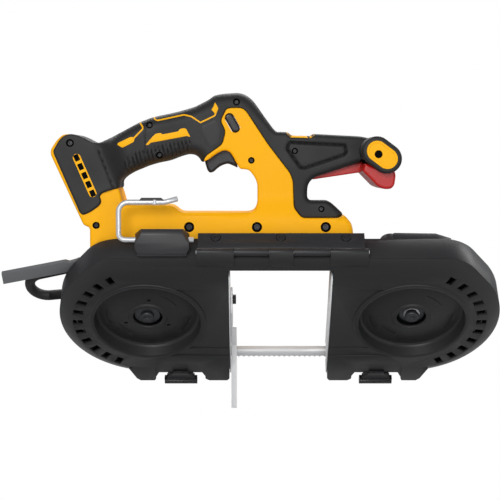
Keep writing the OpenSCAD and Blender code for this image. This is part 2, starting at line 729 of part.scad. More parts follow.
module idler_wheel() color("#55585c") head() translate([axle_x, 0, 0]) difference() {
    wheel(9.5, 14.5, 12);
    rod(0, 0, 13.5, rim_back - 3, 12.02);
}
module idler_tyre() color("#1d1d1f") head() translate([axle_x, 0, 0]) tyre();
module idler_bearing() color("#d2d4d6") head() bearing(axle_x, 0, 13.6, rim_back - 3.1, shaft_r, 12);
module idler_axle() color("#6b6d70") head() difference() {
    union() {
        rod(axle_x, 0, 8.4, slide_back - 1, shaft_r);
        rod(axle_x, 0, 6.4, 9.8, 8);
        rod(axle_x, 0, rim_back + 0.4, pocket_back - 0.5, shaft_r + 0.8);
    }
    translate([axle_x, 6, 0]) rotate([-90, 0, 0]) cylinder(r = 3.5, h = 5, $fn = 6);
}
module tension_slide() color("#9b9da0") head() difference() {
    union() {
        block([axle_x - 22, head_depth + gap, -slide_half], [axle_x + 22, slide_back, slide_half]);
        bar_x(axle_x + 20, axle_x + 48, slide_rod, 0, slide_rod_r);
    }
    rod(axle_x, 0, head_depth, slide_back - 1, shaft_r + 0.02);
}
module tension_springs() color("#7d7f83") head() for (i = [0:5])
    translate([axle_x + 22.4 + i * 2.5, slide_rod, 0]) rotate([0, 90, 0]) difference() {
        cylinder(r = 4.4, h = 2.4);
        translate([0, 0, -1]) cylinder(r = slide_rod_r + 0.08, h = 5);
    }
module tension_lever() color("#242527") head() difference() {
    union() {
        slab(head_depth + 8, head_depth + 16) polygon([[lever_x - 9, lever_up], [lever_x + 4, lever_up + 12],
            [lever_x + 50, lever_up + 11], [lever_x + 68, lever_up + 3], [lever_x + 66, lever_up - 5],
            [lever_x + 12, lever_up - 10], [lever_x - 8, lever_up - 6]]);
        rod(lever_x, lever_up, head_depth + 4, head_depth + 16, 11);
    }
    rod(lever_x, lever_up, head_depth, head_depth + 20, 5 + running_fit);
}

// Gear case

module case_shape(grow) {
    translate([-axle_x, 0]) circle(48 + grow);
    translate([mid_x, mid_up]) circle(33 + grow);
    translate([motor_x, motor_up]) circle(motor_r + 4 + grow);
}
case_screws = [[-axle_x - 46.1, -27.2], [-axle_x - 47.2, 25.2], [-axle_x + 31.6, -43.2], [mid_x + 36, mid_up - 11.5],
               [mid_x + 15.6, mid_up + 34.5]];

module gearcase() color("#3a3b3e") head() difference() {
    union() {
        slab(head_depth + seat, case_end) case_shape(0);
        for (p = case_screws) rod(p[0], p[1], head_depth + seat, head_depth + 12, 6);
    }
    difference() {
        slab(head_depth - 1, case_back) case_shape(-3);
        rod(-axle_x, 0, case_back - 7, case_back + 1, bearing_r + 3);
        rod(mid_x, mid_up, case_back - 1, case_back + 1, 9);
    }
    rod(-axle_x, 0, case_back - 8, case_back - 0.2, bearing_r + seat / 2);
    rod(motor_x, motor_up, case_back - 2, case_end + 1, 9.5 + seat / 2);
    rod(mid_x, mid_up, case_back - 3, case_back + 2, 4 + running_fit);
    for (p = case_screws) rod(p[0], p[1], head_depth - 1, head_depth + 20, 2.1);
}
module gearcase_screws() color("#1f2022") head() for (p = case_screws) difference() {
    union() {
        rod(p[0], p[1], head_depth + 0.2, head_depth + 13, 2);
        rod(p[0], p[1], head_depth + 12 + seat, head_depth + 15.5, 4);
    }
    translate([p[0], head_depth + 13.6, p[1]]) rotate([-90, 0, 0]) cylinder(r = 2, h = 5, $fn = 6);
}
module intermediate_gear() color("#a2a4a7") head() difference() {
    union() {
        geared(mid_x, mid_up, slow_d0, slow_d1 + 0.5, slow_module, slow_pinion, slow_angle + 180 - 180 / slow_pinion);
        geared(mid_x, mid_up, fast_d0, fast_d1, fast_module, fast_teeth, fast_angle);
        rod(mid_x, mid_up, head_depth + 0.4, case_back + 1.6, 4);
        rod(mid_x, mid_up, slow_d1, fast_d0 + 0.5, 6.4);
    }
    for (a = [0:60:300]) translate([mid_x, 0, mid_up]) rotate([0, a, 0]) rod(17, 0, fast_d0 - 1, fast_d1 + 1, 4);
}

// Motor

stator_d0 = case_end + 2;
stator_d1 = stator_d0 + motor_l;
fan_d0 = stator_d1 + 1.5;
fan_d1 = fan_d0 + 5.5;
tail_d0 = fan_d1 + 1;
tail_d1 = tail_d0 + 5;
bulge_end = tail_d1 + 2.5;
motor_shaft = 3;

module motor_rotor() color("#b3b5b8") head() {
    rod(motor_x, motor_up, slow_d1 + 0.8, tail_d1 - 0.4, motor_shaft);
    rod(motor_x, motor_up, stator_d0 + 2, stator_d1 - 2, motor_r * 0.54);
    geared(motor_x, motor_up, fast_d0 - 0.4, fast_d1 + 0.4, fast_module, motor_teeth, fast_angle + 180 - 180 / motor_teeth);
}
module motor_stator() color("#a0592c") head() difference() {
    rod(motor_x, motor_up, stator_d0, stator_d1, motor_r);
    rod(motor_x, motor_up, stator_d0 - 1, stator_d1 + 1, motor_r * 0.54 + 0.5);
    for (a = [0:60:300]) translate([motor_x, 0, motor_up]) rotate([0, a, 0])
        rod(motor_r * 0.76, 0, stator_d0 - 1, stator_d1 + 1, 2.6);
}
module motor_bearings() color("#d2d4d6") head() {
    bearing(motor_x, motor_up, case_back - 0.6, case_end + 0.8, motor_shaft, 9.5);
    bearing(motor_x, motor_up, tail_d0, tail_d1, motor_shaft, 9.5);
}
module cooling_fan() color("#1e1f21") head() difference() {
    union() {
        rod(motor_x, motor_up, fan_d0, fan_d0 + 1.6, motor_r - 3);
        rod(motor_x, motor_up, fan_d0, fan_d1, 6);
        for (a = [0:30:330]) translate([motor_x, 0, motor_up]) rotate([0, a, 0])
            block([5, fan_d0, -0.7], [motor_r - 3, fan_d1, 0.7]);
    }
    rod(motor_x, motor_up, fan_d0 - 1, fan_d1 + 1, motor_shaft + 0.02);
}

// Body outlines, in X and Z from the head's middle

module foot_2d() polygon([[-243, 211], [-249.5, 206.5], [-256, 196], [-257.2, 191.5], [-256, 187],
    [-218.7, 111], [-215, 108.6], [-171, 108.6], [-171, 137], [-178.5, 152], [-205, 202], [-216, 207.4],
    [-223, 210], [-231, 211.6]]);
module cheek_2d() polygon([[-239.6, 209.6], [-245, 204], [-251, 193.5], [-250.6, 190], [-221.3, 125],
    [-217.8, 122], [-210, 125], [-200, 132], [-197, 137], [-199, 143.3], [-196.4, 146.4], [-185.6, 150.2],
    [-180, 152], [-205, 201], [-216, 206], [-223, 208.8], [-231, 210.2]]);
module lower_2d() polygon([[-197, 60], [-197, 84], [-211.4, 84], [-211.4, 112], [-196, 120], [-171.8, 133.7], [-120, 133.7],
    [-110, 126.4], [-34, 126.4], [20, 118.6], [66, 118.6], [70.4, 122.8], [78.8, 113.5], [80.8, 104.6], [80.8, 60]]);
module post_2d() polygon([[-34.2, 126.4], [-28, 128.8], [-25.1, 134.8], [-25.1, 156.2], [-28.3, 164.2],
    [-34.7, 172.4], [-44.2, 173], [-46.6, 176], [-52.6, 187.5], [-56.4, 192.5], [-61.8, 194], [-69, 191.2],
    [-79, 184], [-85.4, 180.8], [-82.3, 187.5], [-63.9, 200.3], [-60.3, 215], [-65.9, 226.3], [-63, 233.4],
    [-59.5, 239], [-54.5, 240.5], [-43.5, 240.5], [-38.4, 237.6], [-13.7, 200.3], [11, 168.3], [14.2, 159.3],
    [14.9, 130], [24, 118.6], [24, 100], [-34.2, 100]]);
module handle_2d() polygon([[-205, 202], [-198, 202], [-186, 209], [-181.5, 211.6], [-158, 224.5], [-143, 230.6],
    [-114, 236.8], [-95, 242.3], [-79.4, 250.2], [-73.5, 255], [-64, 256.8], [-46, 258], [-38.4, 255.7],
    [-31.3, 250.4], [-26.3, 244], [-17, 230.5], [-7.7, 217.8], [-14, 203], [-50, 203], [-64, 196],
    [-84, 182.5], [-87.4, 181.3], [-91, 186.4], [-95, 189], [-101.5, 189.8], [-111, 187.1], [-121.6, 182.8], [-135.7, 180],
    [-146, 177], [-163, 170], [-171.7, 165.1], [-177.6, 160], [-177, 152]]);
// The handle's inner shell under its soft skin, running into the foot and the post
module core_2d() offset(delta = -skin - seat) {
    handle_2d();
    foot_2d();
    post_2d();
}
module arm_2d() {
    polygon([[-7.4, 217.4], [-4.3, 214.4], [5.8, 214.1], [40.5, 211.9], [90, 209.3], [104, 208], [110, 190],
        [100, 176], [90, 180.7], [38.7, 163.9], [34.4, 160.4], [31.4, 156], [30.3, 150], [30.4, 141], [33.6, 138],
        [53, 138], [58.2, 134.6], [70.6, 123], [66, 118.7], [24, 118.7], [15, 130], [14.2, 159.3],
        [11, 168.3], [-13.4, 200.6]]);
    cross_2d(0);
}
cross_a = [103.8, 192.6];
cross_b = [115, 184.2];
module cross_2d(inset) obround(cross_a, cross_b, cross_r - inset);

// A slab from the middle plane out to one side, its outer edge rounded in three steps
module half_slab(side, half, round_by) {
    mirror([0, side > 0 ? 0 : 1, 0]) {
        slab(seat / 2, half - round_by * 0.7) children();
        slab(half - round_by - 0.1, half - round_by * 0.3) offset(delta = -round_by * 0.3) children();
        slab(half - round_by, half) offset(delta = -round_by * 0.9) children();
    }
}
module half_hollow(side, half) {
    mirror([0, side > 0 ? 0 : 1, 0]) slab(-1, half - shell_wall) offset(delta = -shell_wall) children();
}

// Screws of the body: X, Z, half width there, head radius
screws = [[-25.8, 109, body_half, 6], [50.2, 109, body_half, 6], [-100.7, 109, body_half, 6],
          [-145, 221.6, grip_half, 4], [-134, 188.6, grip_half, 4], [-48.5, 247, grip_half, 4],
          [-32, 182.6, post_half, 4], [-232.8, 201.6, foot_half, 5], [-204, 115, body_half, 4]];
arm_screws = [[16.4, 193, arm_half, 4], [46, 128.5, arm_half, 4]];

module screw_bosses(list, side) for (s = list) mirror([0, side > 0 ? 0 : 1, 0])
    rod(s[0], s[1], seat / 2, s[2] - 2.4, s[3] + (s[3] < 4.5 ? 0.6 : 1.2));
module screw_holes(list) for (s = list) {
    rod(s[0], s[1], -s[2] - 10, 14, 2.05);
    rod(s[0], s[1], -s[2] - 10, 5 - s[2], s[3] + 0.15);
}
module screw_set(list) for (s = list) difference() {
    union() {
        rod(s[0], s[1], 5.1 - s[2], 13.5, 2);
        rod(s[0], s[1], 1.2 - s[2], 5 - s[2] - seat, s[3]);
    }
    translate([s[0], 0.5 - s[2], s[1]]) rotate([-90, 0, 0]) cylinder(r = s[3] * 0.42, h = 2.4, $fn = 6);
}

trigger_pivot = [-64, 205];
module trigger_well() slab(-7, 7) polygon([[-88, 190], [-88, 166], [-38, 166], [-38, 188], [-44, 201], [-54, 213],
    [-74, 213], [-80, 202]]);
button_a = [-56.2, 229.6];
button_b = [-49.8, 218.4];
button_r = 4.9;

// What the head, gear case and motor take out of the body shells
module head_space() {
    rotate([head_tilt, 0, 0]) {
        block([-big, -big, -big], [big, head_depth + 0.4, big]);
        slab(head_depth - 1, case_end + 0.5) case_shape(0.4);
        for (p = case_screws) rod(p[0], p[1], head_depth, head_depth + 17, 6.5);
        rod(motor_x, motor_up, case_end - 1, fan_d1 + 0.6, motor_r + 0.3);
    }
}
bay_angle = 154;
module bay_frame() translate([-237.4, 0, 148.5]) rotate([0, bay_angle, 0]) children();

module one_side(side) intersection() {
    children();
    mirror([0, side > 0 ? 0 : 1, 0]) block([-big, seat / 2, -big], [big, big, big]);
}
module body_shell(side) {
    at_base() difference() {
        union() {
            difference() {
                union() {
                    half_slab(side, foot_half, 5) foot_2d();
                    half_slab(side, body_half, 5) lower_2d();
                    half_slab(side, post_half, 4) post_2d();
                    half_slab(side, grip_half - skin, 3) core_2d();
                }
                half_hollow(side, foot_half) foot_2d();
                half_hollow(side, body_half) lower_2d();
                half_hollow(side, post_half) post_2d();
                half_hollow(side, grip_half - skin) core_2d();
            }
            one_side(side) {
                union() {
                    screw_bosses(screws, side);
                    if (side > 0) rotate([head_tilt, 0, 0])
                        rod(motor_x, motor_up, head_depth, bulge_end, motor_r + 0.3 + shell_wall);
                    bay_frame() block([-15, -foot_half + 2, -37], [-1, foot_half - 2, 37]);
                }
            }
        }
        head_space();
        rotate([head_tilt, 0, 0]) {
            rod(motor_x, motor_up, fan_d1, tail_d1 + 0.1, 9.5 + seat / 2);
            for (a = [0:30:330]) translate([motor_x, 0, motor_up]) rotate([0, a, 0])
                block([13, tail_d0 - 2, -1.6], [motor_r - 3, bulge_end + 1, 1.6]);
        }
        screw_holes(screws);
        trigger_well();
        slab(-big, big) obround(button_a, button_b, button_r + gap);
        mirror([0, side > 0 ? 0 : 1, 0]) rod(trigger_pivot[0], trigger_pivot[1], -1, 11, 2.5 + running_fit);
        bay_frame() {
            block([-12, -24, -34], [6, 24, 44]);
            block([-8, -27, -34], [-4, 27, 44]);
        }
    }
}
module right_body_shell() color("#f2b21c") body_shell(-1);
module left_body_shell() color("#f2b21c") body_shell(1);

module grip_skin(side) at_base() {
    difference() {
        half_slab(side, grip_half, 4.5) handle_2d();
        mirror([0, side > 0 ? 0 : 1, 0]) slab(-1, grip_half - skin + seat) offset(delta = -skin) {
            handle_2d();
            foot_2d();
            post_2d();
        }
        slab(-big, big) offset(delta = seat) {
            foot_2d();
            post_2d();
        }
        screw_holes(screws);
        trigger_well();
    }
    mirror([0, side > 0 ? 0 : 1, 0]) difference() {
        union() {
            slab(foot_half + seat, foot_half + 2.2) {
                offset(delta = -4.2) cheek_2d();
                polygon([[-212, 198], [-190, 153], [-179.5, 157.5], [-202, 200]]);
            }
            slab(grip_half - 4, foot_half + 2.2) polygon([[-203, 200.8], [-177.5, 154], [-175.4, 155.2], [-200.9, 202]]);
        }
        rod(screws[7][0], screws[7][1], 0, 60, 6);
        slab(0, 60) obround(vent_a, vent_b, vent_half + seat);
    }
}
module right_grip_skin() color("#1f2022") grip_skin(-1);
module left_grip_skin() color("#1f2022") grip_skin(1);

module body_screws() color("#242528") at_base() {
    screw_set(screws);
    screw_set(arm_screws);
}

vent_a = [-224.8, 185.2];
vent_b = [-206.6, 146.4];
vent_half = 5.4;
module vent_inserts() color("#f2b21c") at_base() for (s = [-1, 1]) mirror([0, s > 0 ? 0 : 1, 0]) difference() {
    slab(foot_half + seat, foot_half + 2.6) obround(vent_a, vent_b, vent_half);
    for (i = [0:4]) translate([vent_a[0] + (vent_b[0] - vent_a[0]) * i / 4, foot_half + 1,
                               vent_a[1] + (vent_b[1] - vent_a[1]) * i / 4])
        rotate([0, -25, 0]) block([-2.9, 0, -3.8], [2.9, 4, 3.8]);
}

module terminal_block() color("#26272a") at_base() bay_frame() {
    difference() {
        block([-11.9, -20, -24], [-2, 20, 24]);
        for (i = [-2:2]) block([-9, i * 7 - 1.6, -25], [-1, i * 7 + 1.6, 22]);
    }
}
module controller_module() color("#3b4048") at_base()
    block([-70, 2, 60 + shell_wall + 0.2], [20, body_half - shell_wall - 0.3, 99]);

// Trigger and its switch

module trigger() color("#1b1c1e") at_base() {
    slab(-6.5, 6.5) polygon([[-84.8, 187], [-84.8, 180], [-82.4, 172], [-80, 169.3], [-75.4, 169.7], [-70, 173.8],
        [-66.4, 176.3], [-62, 178.2], [-57.8, 179], [-51.5, 176.4], [-47.2, 174], [-48.4, 182], [-54, 194],
        [-60, 208.6], [-68, 208.6], [-72, 200]]);
    rod(trigger_pivot[0], trigger_pivot[1], -10.5, 10.5, 2.5);
}
module trigger_switch() color("#2c2d30") at_base() {
    half = grip_half - skin - shell_wall - 0.3;
    block([-128, -half, 197.5], [-90, half, 216]);
    block([-90.2, -4, 202], [-88.4, 4, 208]);
}
module lock_off_button() color("#1d1e20") at_base() difference() {
    slab(-post_half - 2.3, post_half - 2.3) obround(button_a, button_b, button_r);
    // Thumb grooves across the face
    for (i = [-1:1]) translate([(button_a[0] + button_b[0]) / 2 + i * 1.8, -post_half - 2.3, (button_a[1] + button_b[1]) / 2 - i * 3.2])
        rotate([0, 60.3, 0]) block([-0.5, -1, -button_r - 1], [0.5, 0.6, button_r + 1]);
}

// Front arm and cross handle

lever_pivot = [40, 168.4];
lever_swing = 5;
module lever_2d() {
    translate(lever_pivot) circle(4.6);
    polygon([[36.8, 161.2], [90, 169.2], [92, 179.6], [60, 174.4], [42, 173], [38, 171.6]]);
}
module paddle_2d() polygon([[88.4, 170.6], [90, 168], [104.5, 152.6], [113.4, 150.8], [120.6, 151.5],
    [124.1, 155.3], [125.6, 166], [124.4, 171.6], [112, 174], [101, 176], [92, 180]]);
// The room that the lever and its paddle sweep, a little wider than both in all their places
module lever_sweep() {
    slab(-6.5, 6.5) polygon([[34.9, 159], [93, 165.6], [93, 185.6], [90.4, 185.4], [59.2, 177.1], [44, 174.6],
        [40, 174.2], [36.4, 172.6], [34.9, 170.4]]);
    slab(-paddle_half - 0.5, paddle_half + 0.5) polygon([[87.4, 170], [87.2, 176], [90, 185.8], [91.4, 186],
        [100.4, 182.5], [111.4, 181.5], [124.8, 180.2], [126.6, 173.8], [126.8, 166], [125, 154], [121, 150],
        [113.4, 149.6], [104, 151.4], [88.8, 167]]);
}

module arm_recess() slab(arm_half - 2, arm_half + 2) polygon([[9.2, 200], [11.1, 202.6], [72.2, 199.4],
    [73.8, 191.6], [71, 188.6], [27.6, 173.9], [22.6, 174.6], [7.9, 195]]);

module arm_shell(side) at_base() difference() {
    union() {
        difference() {
            half_slab(side, arm_half, 4) arm_2d();
            half_hollow(side, arm_half) arm_2d();
        }
        intersection() {
            union() {
                screw_bosses(arm_screws, side);
                mirror([0, side > 0 ? 0 : 1, 0]) slab(arm_half - 5, arm_half - 1) polygon([[7, 203], [74, 201],
                    [75, 189], [27, 171], [22, 172], [6, 195]]);
                slab(-arm_half + 1, arm_half - 1) translate(bolt_at) circle(8);
                slab(-arm_half + 1, arm_half - 1) translate(lever_pivot) circle(5.4);
            }
            mirror([0, side > 0 ? 0 : 1, 0]) block([-big, seat / 2, -big], [big, big, big]);
        }
    }
    mirror([0, side > 0 ? 0 : 1, 0]) arm_recess();
    slab(-big, big) offset(delta = seat) {
        post_2d();
        lower_2d();
        handle_2d();
    }
    lever_sweep();
    screw_holes(arm_screws);
    rod(bolt_at[0], bolt_at[1], -big, big, 3 + seat / 2);
    rod(lever_pivot[0], lever_pivot[1], -arm_half + 1.5, arm_half - 1.5, 2 + running_fit);
}
module right_arm_shell() color("#242527") arm_shell(-1);
module left_arm_shell() color("#242527") arm_shell(1);

bolt_at = [105.4, 189.1];
module front_grips() color("#1f2022") at_base() difference() {
    for (s = [-1, 1]) mirror([0, s > 0 ? 0 : 1, 0]) {
        slab(arm_half + seat, cross_l / 2 - 2) cross_2d(0);
        slab(arm_half + 1, cross_l / 2) cross_2d(1.6);
    }
    lever_sweep();
    rod(bolt_at[0], bolt_at[1], -big, big, 3 + seat / 2);
}
module grip_end_caps() color("#f2b21c") at_base() difference() {
    for (s = [-1, 1]) mirror([0, s > 0 ? 0 : 1, 0]) slab(cross_l / 2 + seat, cross_l / 2 + cap_t) cross_2d(5);
    rod(bolt_at[0], bolt_at[1], -big, big, 5);
}
module grip_bolt() color("#2b2c2f") at_base() difference() {
    union() {
        rod(bolt_at[0], bolt_at[1], -cross_l / 2 - 0.5, cross_l / 2 + 0.5, 3);
        for (s = [-1, 1]) mirror([0, s > 0 ? 0 : 1, 0])
            rod(bolt_at[0], bolt_at[1], cross_l / 2 + seat, cross_l / 2 + 2.4, 4.8);
    }
    translate([bolt_at[0], -cross_l / 2 - 3, bolt_at[1]]) rotate([-90, 0, 0]) cylinder(r = 2.2, h = 2.2, $fn = 6);
}
module front_lever() color("#b3261f") at_base() difference() {
    union() {
        slab(-6, 6) lever_2d();
        slab(-paddle_half, paddle_half) paddle_2d();
    }
    rod(lever_pivot[0], lever_pivot[1], -10, 10, 2 + running_fit);
}
module front_lever_pin() color("#c4c6c8") at_base()
    rod(lever_pivot[0], lever_pivot[1], -arm_half + 2, arm_half - 2, 2);
module front_switch() color("#2c2d30") at_base() {
    half = arm_half - 5.3;
    block([44, -half, 181.4], [66, half, 191]);
}

// Hooks

// A bent round wire through points of one plane, drawn in X and up
module wire(points, r, bend) {
    n = len(points) - 1;
    cut = [for (i = [0:n]) (i == 0 || i == n) ? 0 :
        let (a = points[i - 1] - points[i], b = points[i + 1] - points[i],
             between = acos(a * b / norm(a) / norm(b)))
        bend / tan(between / 2)];
    for (i = [0:n - 1]) {
        d = (points[i + 1] - points[i]) / norm(points[i + 1] - points[i]);
        from = points[i] + d * (cut[i] - (i == 0 ? 0 : 0.5));
        to = points[i + 1] - d * (cut[i + 1] - (i == n - 1 ? 0 : 0.5));
        translate([from[0], 0, from[1]]) rotate([0, 90 - atan2(d[1], d[0]), 0])
            cylinder(r = r - 0.03, h = norm(to - from));
    }
    for (i = [1:n - 1]) {
        u = (points[i - 1] - points[i]) / norm(points[i - 1] - points[i]);
        v = (points[i + 1] - points[i]) / norm(points[i + 1] - points[i]);
        between = acos(u * v);
        mid = (u + v) / norm(u + v);
        c = points[i] + mid * bend / sin(between / 2);
        a0 = atan2(-mid[1], -mid[0]) - (90 - between / 2);
        translate([c[0], 0, c[1]]) rotate([90, 0, 0]) rotate([0, 0, a0])
            rotate_extrude(angle = 180 - between) translate([bend, 0]) circle(r);
    }
}

hook_depth = 27.3;
hook_rise = head_top + 9;
retainer_x0 = -axle_x - 8.5;
retainer_x1 = retainer_x0 + 59;
hook_y = cos(head_tilt) * hook_depth - sin(head_tilt) * hook_rise;
hook_z = sin(head_tilt) * hook_depth + cos(head_tilt) * hook_rise;

module hang_hook() color("#d6d8da") at_base() translate([0, hook_y, 0])
    wire([[retainer_x1 + 5, hook_z], [-176.3, hook_z], [-176.3, 137.2], [-126, 137.2], [-112, 141]], wire_r, 8);
module hook_retainer() color("#232427") head() difference() {
    intersection() {
        run_x(retainer_x0, retainer_x1) polygon([[frame_front + 1, head_top + seat], [head_depth - 2.5, head_top + seat],
            [head_depth - 2.5, head_top + 18.6], [head_depth - 4.5, head_top + 20.4], [27, head_top + 19],
            [20, head_top + 12], [15, head_top + 5.6], [13, head_top + 3], [frame_front + 1, head_top + 3]]);
        slab(0, head_depth) polygon([[retainer_x0 + 5, head_top], [retainer_x1 - 5, head_top],
            [retainer_x1, head_top + 6], [retainer_x1, head_top + 11], [retainer_x1 - 6, head_top + 18],
            [retainer_x1 - 8, head_top + 21], [retainer_x0 + 8, head_top + 21], [retainer_x0 + 6, head_top + 18],
            [retainer_x0, head_top + 11], [retainer_x0, head_top + 6]]);
    }
    bar_x(retainer_x0 - 1, retainer_x1 + 1, hook_depth, hook_rise, wire_r + running_fit);
}

// The flat rafter hook swings on a stud at the frame's back
module rafter_hook() color("#666869") head() difference() {
    slab(head_depth + 1, head_depth + 1 + bar_t) translate([-hook_x, hook_up]) {
        circle(8);
        rotate(180 + hook_slope) {
            translate([16, -bar_w / 2 - 0.4]) polygon([[-17, 1.6], [-4, 3], [0, 0], [hook_reach - 16, 0],
                [hook_reach - 11, bar_w], [0, bar_w], [-17, bar_w - 1.4]]);
        }
    }
    rod(-hook_x, hook_up, head_depth - 1, head_depth + 20, 4 + running_fit);
}

loop_low = -4;
loop_high = 44;
loop_depth = head_depth + bar_t + 2 + loop_r;
module tether_loop() color("#1a1a1c") head() translate([0, loop_depth, 0])
    wire([[-axle_x - 56, loop_low], [-axle_x - 66, loop_low], [-axle_x - 136, -13.5],
        [-axle_x - 136, 22.5], [-axle_x - 66, loop_high], [-axle_x - 56, loop_high]], loop_r, 19);

frame_housing();
hinge_rail();
rail_screws();
cover_hinge_pin();
blade_cover();
rear_cover_latch();
front_cover_latch();
rear_blade_guide();
front_blade_guide();
rear_near_roller();
rear_far_roller();
front_near_roller();
front_far_roller();
work_stop();
work_stop_screw();
saw_blade();
throat_liners();
drive_wheel();
drive_tyre();
drive_wheel_bolt();
drive_shaft();
drive_gear();
drive_bearings();
idler_wheel();
idler_tyre();
idler_axle();
idler_bearing();
tension_slide();
tension_springs();
tension_lever();
gearcase();
gearcase_screws();
intermediate_gear();
motor_rotor();
motor_stator();
motor_bearings();
cooling_fan();
right_body_shell();
left_body_shell();
right_grip_skin();
left_grip_skin();
body_screws();
vent_inserts();
terminal_block();
controller_module();
trigger();
trigger_switch();
lock_off_button();
right_arm_shell();
left_arm_shell();
front_grips();
grip_end_caps();
grip_bolt();
front_lever();
front_lever_pin();
front_switch();
hang_hook();
hook_retainer();
rafter_hook();
tether_loop();
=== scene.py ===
"""Portable band saw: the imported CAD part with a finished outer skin, soft studio light and a pale floor."""

import json
import math

import bmesh
import bpy
import numpy as np
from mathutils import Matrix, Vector
from mathutils.geometry import delaunay_2d_cdt


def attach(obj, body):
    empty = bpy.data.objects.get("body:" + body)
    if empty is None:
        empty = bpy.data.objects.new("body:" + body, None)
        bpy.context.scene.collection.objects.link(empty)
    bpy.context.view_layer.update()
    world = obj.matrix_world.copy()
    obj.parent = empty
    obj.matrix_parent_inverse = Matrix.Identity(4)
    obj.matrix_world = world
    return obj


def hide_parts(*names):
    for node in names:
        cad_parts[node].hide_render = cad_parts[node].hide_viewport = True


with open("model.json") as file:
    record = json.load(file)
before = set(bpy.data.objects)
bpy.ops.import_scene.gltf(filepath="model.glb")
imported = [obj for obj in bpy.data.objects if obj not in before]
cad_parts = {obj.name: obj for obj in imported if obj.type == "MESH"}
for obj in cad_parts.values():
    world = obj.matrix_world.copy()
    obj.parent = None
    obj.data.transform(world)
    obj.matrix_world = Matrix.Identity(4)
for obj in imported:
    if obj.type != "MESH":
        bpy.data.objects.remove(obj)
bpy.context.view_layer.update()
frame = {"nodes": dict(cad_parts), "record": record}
nodes = frame["nodes"]

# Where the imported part's zero lies in the drawing, in millimetres
# The drawing's own zero is halfway between the wheels, in the handle's middle plane
BASE_X = -32.42
BASE_Y = 17.42
BASE_Z = -108.5
MM = 1000

# Both the sine and the cosine of the head's tilt
HEAD_LEAN = math.sqrt(0.5)

# The viewer's side of the middle plane, and both sides
NEAR_SIDE = (-1,)
BOTH_SIDES = (-1, 1)


def at(x, y, z):
    """A point of the drawing, in millimetres, as a point of the row frame in metres."""
    return Vector(((x - BASE_X) / MM, (y - BASE_Y) / MM, (z - BASE_Z) / MM))


def head(x, w, v):
    """A point of the tilted head: x along it, w behind the cover's face, v up the face."""
    return at(x, HEAD_LEAN * (w - v), HEAD_LEAN * (w + v))


# Materials

CLOUD_SCALE = 22
CLOUD_DETAIL = 4
GRAIN_DETAIL = 3
GRAIN_DEPTH = 0.00008
# How far the clouds take the roughness below and above its value
SMOOTHER = 0.06
ROUGHER = 0.07


def srgb(r, g, b):
    """A screen colour, each part 0 to 255, as linear light."""
    linear = []
    for c in (r / 255, g / 255, b / 255):
        linear.append(c / 12.92 if c <= 0.04045 else ((c + 0.055) / 1.055) ** 2.4)
    return (*linear, 1.0)


def noise(tree, vector, scale, detail):
    """The value of a noise texture over the given coordinates."""
    node = tree.nodes.new("ShaderNodeTexNoise")
    node.inputs["Scale"].default_value = scale
    node.inputs["Detail"].default_value = detail
    tree.links.new(vector, node.inputs["Vector"])
    return node.outputs["Fac"]


def mean(tree, first, second):
    """Half the sum of two values."""
    total = tree.nodes.new("ShaderNodeMath")
    total.operation = "ADD"
    tree.links.new(first, total.inputs[0])
    tree.links.new(second, total.inputs[1])
    half = tree.nodes.new("ShaderNodeMath")
    half.operation = "MULTIPLY"
    half.inputs[1].default_value = 0.5
    tree.links.new(total.outputs["Value"], half.inputs[0])
    return half.outputs["Value"]


def material(name, colour, rough, metal=0.0, vary=0.06, grain=1400, bump=0.12,
             stretch=(1, 1, 1), gleam=0.4):
    """A surface with uneven colour, uneven gloss and a fine grain, from noise in the piece's own space."""
    surface = bpy.data.materials.new(name)
    surface.use_nodes = True
    tree = surface.node_tree
    shader = tree.nodes["Principled BSDF"]
    shader.inputs["Metallic"].default_value = metal
    shader.inputs["Specular IOR Level"].default_value = gleam
    space = tree.nodes.new("ShaderNodeTexCoord")
    stretched = tree.nodes.new("ShaderNodeMapping")
    stretched.inputs["Scale"].default_value = stretch
    tree.links.new(space.outputs["Object"], stretched.inputs["Vector"])
    clouds = noise(tree, space.outputs["Object"], CLOUD_SCALE, CLOUD_DETAIL)
    grains = noise(tree, stretched.outputs["Vector"], grain, GRAIN_DETAIL)

    tint = tree.nodes.new("ShaderNodeMix")
    tint.data_type = "RGBA"
    tint.inputs["A"].default_value = tuple(c * (1 - vary) for c in colour[:3]) + (1,)
    tint.inputs["B"].default_value = tuple(min(1, c * (1 + vary)) for c in colour[:3]) + (1,)
    tree.links.new(mean(tree, clouds, grains), tint.inputs["Factor"])
    tree.links.new(tint.outputs["Result"], shader.inputs["Base Color"])

    gloss = tree.nodes.new("ShaderNodeMapRange")
    gloss.inputs["From Min"].default_value = 0.3
    gloss.inputs["From Max"].default_value = 0.7
    gloss.inputs["To Min"].default_value = max(0.05, rough - SMOOTHER)
    gloss.inputs["To Max"].default_value = min(1, rough + ROUGHER)
    tree.links.new(clouds, gloss.inputs["Value"])
    tree.links.new(gloss.outputs["Result"], shader.inputs["Roughness"])

    dents = tree.nodes.new("ShaderNodeBump")
    dents.inputs["Strength"].default_value = bump
    dents.inputs["Distance"].default_value = GRAIN_DEPTH
    tree.links.new(grains, dents.inputs["Height"])
    tree.links.new(dents.outputs["Normal"], shader.inputs["Normal"])
    return surface


